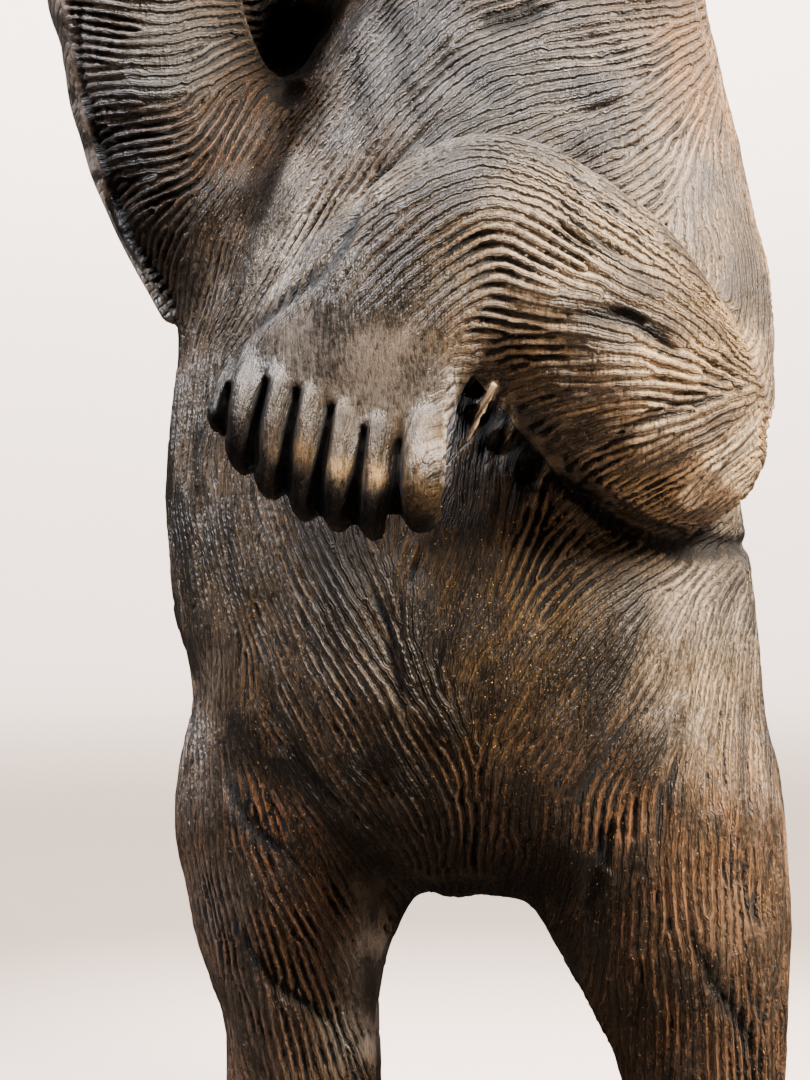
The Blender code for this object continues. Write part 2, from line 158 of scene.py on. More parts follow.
def ball(bm, centre, sizes, lean=0):
    """An ellipsoid with its half sizes along X, Y and Z, leaning sideways by lean degrees."""
    place = (Vector(centre) + Vector((0, 0, SOLE))) * MM
    matrix = Matrix.Translation(place) @ Matrix.Rotation(math.radians(lean), 4, "Y")
    matrix = matrix @ Matrix.Diagonal((*(size * MM for size in sizes), 1))
    bmesh.ops.create_icosphere(bm, subdivisions=4, radius=1, matrix=matrix)


# The left hand's digits: x and z of the knuckle, x and z of the tip, half width.
LEFT_DIGITS = [
    (-38.4, 198, -39.6, 189.5, 2.2),
    (-33.0, 200, -34.6, 181.6, 2.85),
    (-26.4, 200, -28.8, 176.2, 2.9),
    (-19.9, 197, -21.8, 172.0, 2.95),
    (-13.2, 193, -15.0, 169.8, 3.0),
    (-6.0, 190, -7.7, 168.0, 3.1),
    (3.6, 188, 2.0, 169.6, 4.8),
]


def hand_digits(bm):
    """Blunt fluted digits that hang from the knuckles and curl in towards the belly."""
    for top_x, top, tip_x, tip, half in LEFT_DIGITS:
        back = 3 if half < 2.5 else 0
        middle = (top_x + tip_x) / 2
        rows = [
            (top_x, -89 + back, top + 7, half * 0.8, half),
            (top_x - 0.2, -95 + back, top - 1, half * 0.95, half * 1.35),
            (middle, -97 + back, (top + tip) / 2, half, half * 1.45),
            (tip_x, -94 + back, tip + half * 1.9, half * 0.98, half * 1.4),
            (tip_x, -89.5 + back, tip + half * 0.9, half * 0.8, half),
        ]
        tube(bm, rows)


# The pale rim behind the raised arm's outer edge: its outline in the photograph, how far its middle is inside
# that, where it lies front to back, the x that it stays outside of, and its strands.
ARM_RIM = [
    (53, -8), (66, 62), (73, 108), (84, 143), (93, 175), (107, 210), (126, 251), (146, 286), (164, 318),
]
RIM_INSET = 6
RIM_Y = -2
RIM_INSIDE_X = -52
RIM_STRANDS = 42
RIM_STRAND_SIZES = (2.2, 3.4, 1.15)
RIM_STRAND_LEAN = 38


def arm_rim(bm):
    """A rope-like rim down the outer edge of the raised arm, of short slanting strands."""
    depth = CAMERA_DISTANCE + RIM_Y
    for k in range(RIM_STRANDS):
        across, down = along(ARM_RIM, k / (RIM_STRANDS - 1))
        u = (across + RIM_INSET - PHOTO_WIDTH / 2) * depth / PIXELS + CAMERA_ASIDE
        z = (PHOTO_HEIGHT / 2 - down) * depth / PIXELS + CAMERA_HEIGHT - SOLE
        place = RIGHTWARD * u
        ball(bm, (place[0], place[1] + RIM_Y, z), RIM_STRAND_SIZES, RIM_STRAND_LEAN)


# The raised paw: x of its middle, its digits, their pitch, how high the middle tips are, and how much lower
# the outer ones are.
PAW_X = -74
PAW_DIGITS = 6
PAW_PITCH = 7.2
PAW_TIP = 474
PAW_ARCH = 9


def raised_digits(bm):
    """Six digits in a shallow arch, each with a claw bent forward."""
    middle = (PAW_DIGITS - 1) / 2
    for k in range(PAW_DIGITS):
        share = (k - middle) / middle
        x = PAW_X + (k - middle) * PAW_PITCH
        out, end = x + share, x + share * 1.5
        tip = PAW_TIP - PAW_ARCH * share**2
        tube(bm, [
            ((x + PAW_X) / 2, -62, 436, 3.6, 6),
            (x, -66, tip - 22, 3.8, 6.5),
            (out, -68, tip - 9, 3.9, 5.6),
        ])
        claw = [(out, -69, tip - 8, 2.2, 3.4), (end, -73, tip, 2.2, 2.6), (end, -77.5, tip + 3, 1.1, 1.2)]
        tube(bm, claw, cap_rings=3)


# The feet: the x of each ankle and how far the toes turn out, then the toes and their pitch.
FEET = [(-43.5, -5), (57, 5)]
TOES = 5
TOE_PITCH = 8.6


def foot(bm, ankle_x, turn_out):
    """A broad foot with five toes and their claws, resting on the base."""
    rows = [
        (ankle_x, 18, 13, 18, 13),
        (ankle_x + turn_out * 0.2, -4, 15, 21, 16),
        (ankle_x + turn_out * 0.6, -26, 13, 22.5, 13.5),
        (ankle_x + turn_out, -40, 9, 21.5, 9),
    ]
    tube(bm, rows)
    middle = (TOES - 1) / 2
    for k in range(TOES):
        share = (k - middle) / middle
        x = ankle_x + turn_out + (k - middle) * TOE_PITCH
        out, end = x + share, x + share * 1.5
        front = -50 + 5 * share**2
        tube(bm, [(x, front + 16, 9, 3.9, 6.5), (out, front + 2, 8.5, 4.0, 6.6), (out, front - 2, 7, 3.6, 5)])
        claw = [
            (out, front - 3, 7, 1.9, 2.6),
            (end, front - 9, 5, 1.8, 2.4),
            (end, front - 13, 2.6, 0.9, 1.2),
        ]
        tube(bm, claw, cap_rings=3)


def face(bm):
    """A plain bear's face: brow ridges, lids, cheeks, nose and round ears."""
    for hand in (-1, 1):
        ball(bm, (HEAD_X + hand * 17, -47, 402), (11, 11, 6), hand * 12)
        ball(bm, (HEAD_X + hand * 16.5, -57, 394), (4.3, 4.3, 3.9))
        ball(bm, (HEAD_X + hand * 26, -27, 376), (17, 19, 18))
        ball(bm, (HEAD_X + hand * 34, 0, 426), (13, 7.5, 14), hand * 24)
    ball(bm, (HEAD_X, -87, 384), (9.5, 6, 5.6))


def carrier(mesh):
    """An object that holds the mesh in the scene while its modifiers work."""
    made = bpy.data.objects.new("work", mesh)
    bpy.context.scene.collection.objects.link(made)
    return made


def worked(obj):
    """The object's mesh with its modifiers applied. The object is used up."""
    graph = bpy.context.evaluated_depsgraph_get()
    mesh = bpy.data.meshes.new_from_object(obj.evaluated_get(graph))
    bpy.data.objects.remove(obj)
    return mesh


def fused(mesh, voxel, rounds):
    """The mesh as one skin of even cells, its creases eased by some rounds of smoothing."""
    obj = carrier(mesh)
    remesh = obj.modifiers.new("Fuse", "REMESH")
    remesh.mode = "VOXEL"
    remesh.voxel_size = voxel * MM
    ease = obj.modifiers.new("Ease", "SMOOTH")
    ease.factor = 0.5
    ease.iterations = rounds
    return worked(obj)


def arrays(mesh):
    """The places, in millimetres, and the normals of the mesh's points."""
    places = np.empty(len(mesh.vertices) * 3)
    normals = np.empty(len(mesh.vertices) * 3)
    mesh.vertices.foreach_get("co", places)
    mesh.vertices.foreach_get("normal", normals)
    return places.reshape(-1, 3) / MM, normals.reshape(-1, 3)


def pixels(places):
    """Where the places fall in the photograph."""
    depth = CAMERA_DISTANCE + (places - TARGET) @ FORWARD
    across = PHOTO_WIDTH / 2 + PIXELS * ((places - TARGET) @ RIGHTWARD) / depth
    down = PHOTO_HEIGHT / 2 - PIXELS * ((places - TARGET) @ UPWARD) / depth
    return np.stack([across, down], axis=1)


def facing(places, normals):
    """How squarely each point looks at the photograph's camera, from -1 to 1."""
    way = CAMERA_PLACE - places
    way /= np.linalg.norm(way, axis=1)[:, None]
    return (way * normals).sum(1)


def step(values, low, high):
    """0 at low and 1 at high, eased between them."""
    share = np.clip((values - low) / (high - low), 0, 1)
    return share * share * (3 - 2 * share)


def path_gap(seen, path):
    """How far each pixel is from a path of pixels."""
    gap = np.full(len(seen), np.inf)
    for a, b in zip(path, path[1:]):
        start, way = np.array(a, float), np.subtract(b, a).astype(float)
        share = np.clip((seen - start) @ way / (way @ way), 0, 1)
        gap = np.minimum(gap, np.linalg.norm(seen - start - share[:, None] * way, axis=1))
    return gap


def round_patch(seen, across, down, radius):
    """1 in the middle of a round patch of the photograph, falling off to nothing past its radius."""
    return np.exp(-((seen - (across, down)) ** 2).sum(1) / (2 * (0.6 * radius) ** 2))


def unit(vectors):
    """The vectors at length 1."""
    return vectors / np.maximum(np.linalg.norm(vectors, axis=1), 1e-9)[:, None]


# How gently one line's direction goes over to the next one's, along the forms and from form to form.
LINE_BLEND = 5
FORM_BLEND = 3


def nearness(places, lines):
    """For a group of lines: how far each place is from their skin, and the way they run there."""
    spots, ways, reach = [], [], []
    for rows in lines:
        count = 5 * len(rows)
        line = np.array([along(rows, k / count) for k in range(count + 1)])
        line[:, 2] += SOLE
        spots.append(line[:, :3])
        ways.append(unit(np.gradient(line[:, :3], axis=0)))
        reach.append(line[:, 3])
    spots, ways, reach = np.concatenate(spots), np.concatenate(ways), np.concatenate(reach)
    best = np.empty(len(places))
    run = np.empty_like(places)
    for start in range(0, len(places), BATCH):
        part = slice(start, start + BATCH)
        away = np.linalg.norm(places[part, None] - spots[None], axis=2) - reach[None]
        best[part] = away.min(1)
        weight = np.exp(-(away - away.min(1)[:, None]) / LINE_BLEND)
        run[part] = weight @ ways / weight.sum(1)[:, None]
    return best, run


# How the strokes run in the photograph: across, down, angle in degrees from rightward, turning upward.
ARM_STROKES = [
    (90, 30, 165), (139, 40, 180), (203, 28, -160), (249, 15, -150), (262, 60, -130), (250, 110, -115),
    (229, 150, -112), (150, 140, -178), (106, 143, 175), (120, 200, -170), (150, 250, -120), (170, 290, -100),
]
BODY_STROKES = [
    (300, 180, -126), (280, 280, -111), (203, 178, -114), (200, 230, -107), (200, 425, -92),
    (360, 100, -130), (430, 60, -140), (520, 60, -160), (580, 60, -175), (620, 175, -155),
    (640, 100, -160), (690, 120, -120), (730, 150, -80), (740, 230, -85), (760, 300, -95),
    (430, 220, -150), (380, 210, -125), (350, 260, -120), (300, 320, -135), (230, 560, -80),
    (300, 600, -65), (350, 650, -60), (400, 720, -62), (480, 520, -105), (470, 600, -110),
    (520, 640, -120), (580, 600, -135), (640, 560, -150), (690, 545, -155), (560, 720, -118),
    (620, 700, -125), (500, 850, -90), (200, 700, -90), (200, 800, -88), (215, 900, -85),
    (300, 750, -60), (360, 800, -55), (280, 900, -65), (330, 1000, -75), (260, 1000, -80),
    (650, 690, -115), (700, 640, -105), (740, 700, -92), (700, 850, -88), (650, 900, -80),
    (610, 880, -105), (740, 950, -85), (560, 220, -155), (480, 200, -160),
]
FOREARM_STROKES = [
    (700, 300, 150), (660, 330, 155), (640, 400, 180), (600, 370, 178), (560, 330, 172),
    (600, 240, 150), (560, 200, 148), (520, 160, 165), (480, 140, 180), (440, 150, -150),
    (430, 220, -150), (400, 260, -140), (350, 300, -120), (300, 340, -115), (300, 420, -100),
    (550, 420, -160), (590, 465, -153), (640, 490, -150), (681, 469, -147), (692, 514, -153),
    (715, 520, -130),
]


# How gently the photograph's directions go over into each other, in pixels.
STROKE_BLEND = 38
# A hair above 1, so that two opposite directions never cancel out.
NUDGE = 1.0001


def guided(places, normals, strokes):
    """The photograph's stroke directions, lifted onto the skin."""
    spots = np.array([stroke[:2] for stroke in strokes], float)
    turns = np.radians([stroke[2] for stroke in strokes])
    ways = np.stack([np.cos(turns), np.sin(turns)], axis=1)
    seen = pixels(places)
    flat = np.empty((len(places), 2))
    for start in range(0, len(places), BATCH):
        part = slice(start, start + BATCH)
        gap = ((seen[part, None] - spots[None]) ** 2).sum(2)
        weight = np.exp(-(gap - gap.min(1)[:, None]) / (2 * STROKE_BLEND**2))
        flat[part] = weight @ ways / weight.sum(1)[:, None]
    lifted = flat[:, :1] * RIGHTWARD + flat[:, 1:] * UPWARD
    square = np.minimum(normals @ FORWARD, -0.3)
    lifted += FORWARD * (-(lifted * normals).sum(1) / square)[:, None]
    return unit(lifted)


def fur_way(places, normals):
    """The way the strokes run at each point: as in the photograph where it shows, else along the forms."""
    groups = [
        (BODY_LINES, BODY_STROKES), (FOREARM_LINES, FOREARM_STROKES),
        (ARM_LINES, ARM_STROKES), (HEAD_LINES, None),
    ]
    shown = step(facing(places, normals), 0.05, 0.35) * step(pixels(places)[:, 1], -60, -10)
    near = [nearness(places, lines) for lines, _ in groups]
    closest = np.minimum.reduce([away for away, _ in near])
    run = np.zeros_like(places)
    for (away, way), (_, strokes) in zip(near, groups):
        share = np.exp(-(away - closest) / FORM_BLEND)[:, None]
        if strokes is None:
            run += share * way
            continue
        flat = unit(way - normals * (way * normals).sum(1)[:, None])
        run += share * (flat + shown[:, None] * (NUDGE * guided(places, normals, strokes) - flat))
    run -= normals * (run * normals).sum(1)[:, None]
    return unit(run)


class Strokes:
    """Even strokes that follow the fur over the skin and fork where they have to, with streaks along them."""

    # Neighbours taken when the strokes are laid and when they are read.
    LAID_FROM, READ_FROM = 10, 5
    # Spot spacing, blending width and streak width, as shares of the stroke spacing.
    CELL, BLEND, STREAK = 0.6, 1.2, 0.3
    # Rounds of evening out: fine streaks, broad streaks across and along, and clouds.
    FINE_ROUNDS, BROAD_ROUNDS, BROAD_LONG_ROUNDS, CLOUD_ROUNDS = 13, 12, 30, 90

    def __init__(self, places, normals, spacing, seed, rounds):
        self.spacing = spacing
        cell = np.floor(places / (self.CELL * spacing)).astype(int)
        _, picked = np.unique(cell, axis=0, return_index=True)
        self.spots = places[picked]
        run = fur_way(self.spots, normals[picked])
        self.across = np.cross(normals[picked], run)
        self.near = KDTree(len(self.spots))
        for i, spot in enumerate(self.spots):
            self.near.insert(spot, i)
        self.near.balance()
        others = np.array([[hit[1] for hit in self.near.find_n(spot, self.LAID_FROM)] for spot in self.spots])
        gap = self.spots[:, None] - self.spots[others]
        self.wave = 2 * math.pi / spacing
        chance = np.random.default_rng(seed)
        phase = chance.uniform(-math.pi, math.pi, len(self.spots))
        sideways = (self.across[others] * gap).sum(2)
        shift = self.wave * sideways
        same = np.clip((self.across[others] * self.across[:, None]).sum(2), 0, 1) ** 2
        weight = same * np.exp(-((np.linalg.norm(gap, axis=2) / (self.BLEND * spacing)) ** 2))
        for _ in range(rounds):
            phase = np.angle((weight * np.exp(1j * (phase[others] + shift))).sum(1))
        self.phase = phase
        lengthwise = same * np.exp(-((sideways / (self.STREAK * spacing)) ** 2))
        self.fine = self.spread(chance.normal(size=len(phase)), others, lengthwise, self.FINE_ROUNDS)
        broad = self.spread(chance.normal(size=len(phase)), others, weight, self.BROAD_ROUNDS)
        self.broad = self.spread(broad, others, lengthwise, self.BROAD_LONG_ROUNDS)
        self.cloud = self.spread(chance.normal(size=len(phase)), others, weight, self.CLOUD_ROUNDS)

    @staticmethod
    def spread(values, others, weight, rounds):
        """The values evened out between neighbours, with their spread brought back to 1."""
        total = weight.sum(1)
        for _ in range(rounds):
            values = (weight * values[others]).sum(1) / total
        return (values - values.mean()) / values.std()

    def at(self, places):
        """The phase at the places, the fine, broad and cloudy streaks, and the way across the strokes."""
        found = np.array([[hit[1] for hit in self.near.find_n(place, self.READ_FROM)] for place in places])
        turning = np.zeros(len(places), complex)
        sums = np.zeros((len(places), 3))
        total = np.zeros(len(places))
        across = np.zeros_like(places)
        for one in found.T:
            offset = places - self.spots[one]
            size = np.exp(-((np.linalg.norm(offset, axis=1) / (self.CELL * self.spacing)) ** 2)) + 1e-9
            turning += size * np.exp(1j * (self.phase[one] + self.wave * (self.across[one] * offset).sum(1)))
            sums += size[:, None] * np.stack([self.fine[one], self.broad[one], self.cloud[one]], axis=1)
            across += size[:, None] * self.across[one]
            total += size
        sums /= total[:, None]
        return np.angle(turning), sums[:, 0], sums[:, 1], sums[:, 2], unit(across)


# Deep cuts in the photograph: width and depth in millimetres, then the line's pixels. The places along a line
# are CUT_STEP pixels apart.
CUT_STEP = 2.0
CUTS = [
    (1.4, 1.2, [(546, 154), (600, 196), (656, 243)]),
    (1.6, 1.4, [(557, 228), (610, 250), (658, 288)]),
    (1.9, 2.1, [(560, 317), (596, 315), (625, 316), (645, 325), (663, 340), (681, 354), (699, 366)]),
    (1.6, 1.3, [(746, 390), (697, 403), (641, 423), (610, 445), (583, 467)]),
    (1.2, 0.9, [(741, 388), (700, 395), (634, 402)]),
    (1.8, 1.6, [
        (216, 376), (246, 335), (288, 297), (326, 266), (346, 230),
        (368, 188), (406, 148), (448, 121), (500, 114),
    ]),
    (2.0, 2.2, [
        (78, 10), (77, 67), (82, 98), (91, 131), (103, 173),
        (118, 212), (132, 245), (148, 271), (163, 290),
    ]),
    (1.3, 0.9, [(615, 159), (643, 141)]),
    (1.3, 0.9, [(577, 114), (641, 93)]),
    (2.8, 2.4, [(483, 24), (515, 16), (552, 6)]),
    (1.4, 1.2, [(190, 699), (190, 722), (189, 742)]),
    (1.6, 1.4, [(224, 748), (228, 781), (246, 822), (284, 857), (325, 875)]),
    (1.6, 1.2, [(281, 740), (319, 787), (360, 822)]),
    (1.6, 1.3, [(243, 939), (272, 983), (325, 1018), (346, 1027)]),
    (1.8, 1.5, [(685, 751), (672, 780), (664, 805), (660, 845), (664, 902)]),
    (2.1, 1.8, [(613, 833), (600, 860), (592, 890), (587, 926)]),
    (1.4, 1.1, [(737, 828), (748, 880), (756, 925), (759, 936)]),
    (1.3, 0.9, [(766, 842), (781, 880)]),
    (1.8, 1.7, [(688, 927), (715, 985), (745, 1030), (764, 1079)]),
    (1.3, 1.0, [(743, 971), (765, 1020), (775, 1065)]),
    (1.4, 1.1, [(643, 965), (640, 1000), (631, 1040)]),
    (1.4, 1.0, [(655, 700), (620, 735), (585, 790), (570, 830)]),
    (1.3, 0.9, [(745, 355), (716, 371), (700, 378)]),
    (1.3, 0.9, [(742, 374), (715, 385), (696, 398)]),
    (1.3, 0.9, [(744, 410), (722, 420), (704, 440)]),
    (1.3, 0.9, [(300, 612), (315, 650), (330, 690)]),
    (1.4, 1.0, [(355, 560), (385, 620), (400, 690), (418, 740)]),
    (1.3, 0.9, [(430, 545), (405, 590), (398, 640)]),
    (1.4, 0.9, [(470, 560), (440, 640), (432, 690)]),
]
# Thin ridges left standing, in the same way.
RIDGES = [
    (0.9, 1.2, [(502, 397), (486, 473)]),
    (0.9, 1.0, [(552, 452), (527, 505)]),
]

# Short slanting nicks across the wrist's left edge, from the first pixel to the last, and along the arm's
# rim: how many, and their width and depth.
WRIST_LINE = ((376, 212), (334, 292))
WRIST_NICKS = 9
WRIST_NICK = (0.6, 0.7)
RIM_NICKS = 38
RIM_NICK = (0.55, 0.9)


def nicks():
    """The nicks of the wrist and of the rope-like rim as cuts: width, depth and the line's pixels."""
    found = []
    for k in range(WRIST_NICKS):
        share = k / (WRIST_NICKS - 1)
        x, y = ((1 - share) * a + share * b for a, b in zip(*WRIST_LINE))
        found.append((*WRIST_NICK, [(x + 7, y - 7), (x, y), (x - 7, y + 3)]))
    for k in range(RIM_NICKS):
        x, y = along(ARM_RIM, (k + 0.5) / RIM_NICKS)
        found.append((*RIM_NICK, [(x + 1, y - 5), (x + 5, y), (x + 10, y + 5)]))
    return found


# Slivers left standing in the hollow under the wrist: half width, stand-off, and the ends' pixels.
SLIVERS = [
    (1.1, 8.0, (493, 386), (464, 446)),
]


def slivers(bm, tree):
    """Thin tapering slivers of wood that stand out before the dark hollow."""
    for half, off, top, end in SLIVERS:
        ends = [skin_point(tree, *top), skin_point(tree, *end)]
        if ends[0] is None or ends[1] is None:
            continue
        front = min(spot @ FORWARD for spot in ends)
        rows = []
        for k, share in enumerate((0, 0.5, 1)):
            spot = (1 - share) * ends[0] + share * ends[1]
            spot = spot - FORWARD * (spot @ FORWARD - front + off * (1 - share))
            rows.append((spot[0], spot[1], spot[2] - SOLE, half * (1, 0.9, 0.5)[k], half * 1.4))
        tube(bm, rows, cap_rings=3)


# Hollows behind the front forms: across, down and radius in pixels, then how far each is pushed back.
HOLLOWS = [
    (478, 386, 22, 8.0), (484, 415, 22, 7.0), (502, 446, 22, 5.0), (532, 474, 18, 4.5),
    (302, -25, 40, 13.0), (300, 12, 34, 11.0), (293, 50, 26, 8.0), (287, 86, 18, 5.0),
]
HAND_FRONT_Y = -74

# The undercut along the forearm's lower edge: its pixels, its spread in pixels, and its depth.
UNDERCUT = [(510, 402), (540, 449), (578, 487), (630, 523), (692, 548), (738, 546)]
UNDERCUT_SPREAD = 8
UNDERCUT_DEEP = 5.5

# The slots between the hand's digits: how far they spread, in pixels, and how deep they go, from the knuckles
# down, the margin that is looked at round them, and their pixels.
SLOT_SPREAD = (2.2, 3.9)
SLOT_DEEP = (2.5, 8.0)
SLOT_MARGIN = 14
SLOT_STEPS = 40
HAND_SLOTS = [
    [(229, 386), (224, 405), (221, 430)],
    [(267, 380), (260, 405), (254, 430), (252, 462)],
    [(298, 389), (292, 420), (286, 452), (285, 488)],
    [(331, 406), (325, 440), (319, 476), (317, 510)],
    [(364, 428), (360, 465), (355, 500), (353, 524)],
    [(401, 441), (399, 475), (397, 505), (395, 522)],
]


def skin_point(tree, across, down):
    """The skin's first point under a pixel of the photograph, in millimetres, or None."""
    way = FORWARD * PIXELS + RIGHTWARD * (across - PHOTO_WIDTH / 2) + UPWARD * (PHOTO_HEIGHT / 2 - down)
    hit = tree.ray_cast(Vector(CAMERA_PLACE * MM), Vector(way).normalized())
    return None if hit[0] is None else np.array(hit[0]) / MM


def cut_lines(tree, rows, sign):
    """For each line, its points on the skin with the width and the depth of the cut there."""
    found = []
    for width, depth, path in rows:
        length = sum(math.dist(a, b) for a, b in zip(path, path[1:]))
        count = max(8, round(length / CUT_STEP))
        line = []
        for k in range(count + 1):
            across, down = along(path, k / count)
            spot = skin_point(tree, across, down)
            if spot is not None:
                fade = math.sin(math.pi * (0.12 + 0.84 * k / count))
                line.append((*spot, width * (0.5 + 0.5 * fade), sign * depth * fade))
        found.append(line)
    return found


# The face's cuts on one side: width and depth, then x from the head's middle, y and z of the line. They
# are the mouth, a nostril, the upper and the lower lid, and the ear's hollow.
FACE_CUTS = [
    (1.5, 1.6, [(2, -93, 378), (7, -84, 370.5), (14, -70, 369), (19, -58, 372)]),
    (1.3, 1.8, [(4.6, -92.5, 384), (5.6, -92, 382.6)]),
    (1.4, 1.4, [(10, -57, 396), (15.5, -59, 399), (22, -54, 396)]),
    (1.2, 1.2, [(10, -58, 392), (16, -60.5, 390), (22, -55, 391)]),
    (5.5, 4.0, [(33, -7, 424), (35, -7, 429)]),
]


def face_cuts():
    """The face's cuts on both sides and the groove below the nose, as points with their width and depth."""
    found = []
    for hand in (-1, 1):
        for width, depth, path in FACE_CUTS:
            spots = [along(path, k / (4 * len(path))) for k in range(4 * len(path) + 1)]
            found.append([(HEAD_X + hand * x, y, z + SOLE, width, depth) for x, y, z in spots])
    found.append([(HEAD_X, -93, 380 + SOLE - k * 0.7, 1.0, 1.2) for k in range(6)])
    return found


def cut_depth(places, lines):
    """How deep the cuts go at each point, the deepest of those near it."""
    depth = np.zeros(len(places))
    for line in lines:
        line = np.array(line).reshape(-1, 5)
        if not len(line):
            continue
        reach = 3 * line[:, 3].max()
        low, high = line[:, :3].min(0) - reach, line[:, :3].max(0) + reach
        around = np.flatnonzero(((places > low) & (places < high)).all(1))
        close = places[around]
        now = depth[around]
        for x, y, z, width, deep in line:
            gap = ((close - (x, y, z)) ** 2).sum(1)
            here = deep * np.exp(-gap / width**2)
            now = np.where(np.abs(here) > np.abs(now), here, now)
        depth[around] = now
    return depth


# Places left smooth between the fur in the photograph: across, down and radius in pixels.
SMOOTH = [(368, 885, 17), (372, 915, 17), (374, 945, 17), (375, 980, 17), (378, 1015, 17), (379, 1050, 17)]
SMOOTH += [(508, 400, 8), (522, 422, 8), (538, 443, 8), (556, 462, 8), (574, 478, 7)]
SMOOTH += [(300, 350, 34), (350, 350, 34), (400, 370, 34), (330, 330, 30)]


def smooth_share(places, normals):
    """1 where the photograph shows the wood left smooth, and 0 in the fur."""
    seen = pixels(places)
    front = facing(places, normals) > 0
    found = np.zeros(len(places))
    for across, down, radius in SMOOTH:
        gap = np.hypot(seen[:, 0] - across, seen[:, 1] - down)
        found = np.maximum(found, front * (1 - step(gap, 0.75 * radius, 1.25 * radius)))
    for _, _, top, end in SLIVERS:
        found = np.maximum(found, front * (1 - step(path_gap(seen, [top, end]), 5, 8)))
    rim = 1 - step(path_gap(seen, ARM_RIM), 8, 12)
    return np.maximum(0.85 * found, rim * (places[:, 0] < RIM_INSIDE_X))


def regions(places, normals):
    """Shares from 0 to 1 of the places that are bare of fur, black-stained, and part of the base."""
    x, y, z = places[:, 0], places[:, 1], places[:, 2] - SOLE
    ground = 1 - step(z, 2, 5)
    foot_bare = (1 - step(z, 14, 24)) * step(-y, 26, 40)
    hand = step(-y, 76, 84) * step(x, -60, -50) * (1 - step(x, 8, 20)) * step(z, 150, 158)
    hanging = 0.75 * hand * (1 - step(z, 206, 226))
    over_tip = z - np.interp(x, [row[2] for row in LEFT_DIGITS], [row[3] for row in LEFT_DIGITS])
    raised = step(z, 424, 434) * step(-x, 44, 50)
    snout = step(-y, 76, 84) * step(z, 350, 358) * step(x, -40, -34)
    eye = np.exp(-((np.minimum(np.abs(x - HEAD_X - 16.5), np.abs(x - HEAD_X + 16.5)) / 6) ** 2))
    eye = eye * np.exp(-(((z - 394) / 6) ** 2)) * step(-y, 50, 54)
    bare = np.maximum.reduce([ground, foot_bare, hanging, raised, snout, eye, smooth_share(places, normals)])
    tips = hand * (1 - step(over_tip, 8 - 6 * step(x, -3, 1), 13 - 7 * step(x, -3, 1)))
    claws = step(z, 464, 470) * step(-y, 66, 71)
    claws = np.maximum(claws, (1 - step(z, 9, 12)) * step(-y, 50, 54) * step(z, 1.6, 2.4))
    nose = step(-y, 84, 87) * step(z, 378, 380)
    black = np.maximum.reduce([tips, claws, nose, step(eye, 0.45, 0.6)])
    return bare, black, ground


def thinned(mesh, shown):
    """The mesh with fewer triangles: a small share for the hidden points, and the rest for the shown ones."""
    starts = np.empty(len(mesh.polygons), int)
    sides = np.empty(len(mesh.polygons), int)
    corners = np.empty(len(mesh.loops), int)
    mesh.polygons.foreach_get("loop_start", starts)
    mesh.polygons.foreach_get("loop_total", sides)
    mesh.loops.foreach_get("vertex_index", corners)
    hidden = np.logical_and.reduceat(~shown[corners], starts)
    total = (sides - 2).sum()
    left = total - (sides - 2)[hidden].sum() + HIDDEN_TRIANGLES
    obj = carrier(mesh)
    for name, chosen, ratio in (
        ("hidden", ~shown, left / total),
        ("shown", shown, (HIDDEN_TRIANGLES + SHOWN_TRIANGLES) / left),
    ):
        group = obj.vertex_groups.new(name=name)
        group.add(np.flatnonzero(chosen).tolist(), 1.0, "REPLACE")
        fewer = obj.modifiers.new(name, "DECIMATE")
        fewer.ratio = min(1, ratio)
        fewer.vertex_group = group.name
    obj.modifiers.new("Triangles", "TRIANGULATE")
    return worked(obj)


def leaning(across):
    """Which way a stroke's facet leans, so that it faces up towards the light and its far lip falls dark."""
    return -np.tanh(3 * across @ LIGHT_WAY)


# Where the strokes are bolder or finer than elsewhere: across, down and radius in pixels, and the share.
BOLDNESS = [
    (120, 60, 90, 1.5), (150, 180, 80, 1.3), (600, 300, 90, 0.95), (560, 400, 60, 1.0), (290, 230, 60, 1.35),
    (700, 420, 70, 1.1), (540, 60, 100, 0.6), (430, 70, 70, 0.7), (480, 620, 110, 0.75), (540, 150, 40, 0.8),
    (250, 650, 60, 0.8),
]
BOLDNESS_WEIGHT = 4


def boldness(places):
    """How deep the strokes go at each point, against 1 for the usual depth."""
    seen = pixels(places)
    total, weight = np.ones(len(places)), np.ones(len(places))
    for across, down, radius, share in BOLDNESS:
        near = BOLDNESS_WEIGHT * round_patch(seen, across, down, radius)
        total += near * share
        weight += near
    return total / weight


def shown_points(places, normals):
    """True for the points that the photograph shows, with a margin round its frame."""
    down = pixels(places)[:, 1]
    return (facing(places, normals) > -0.05) & (down > -40) & (down < PHOTO_HEIGHT + 20)


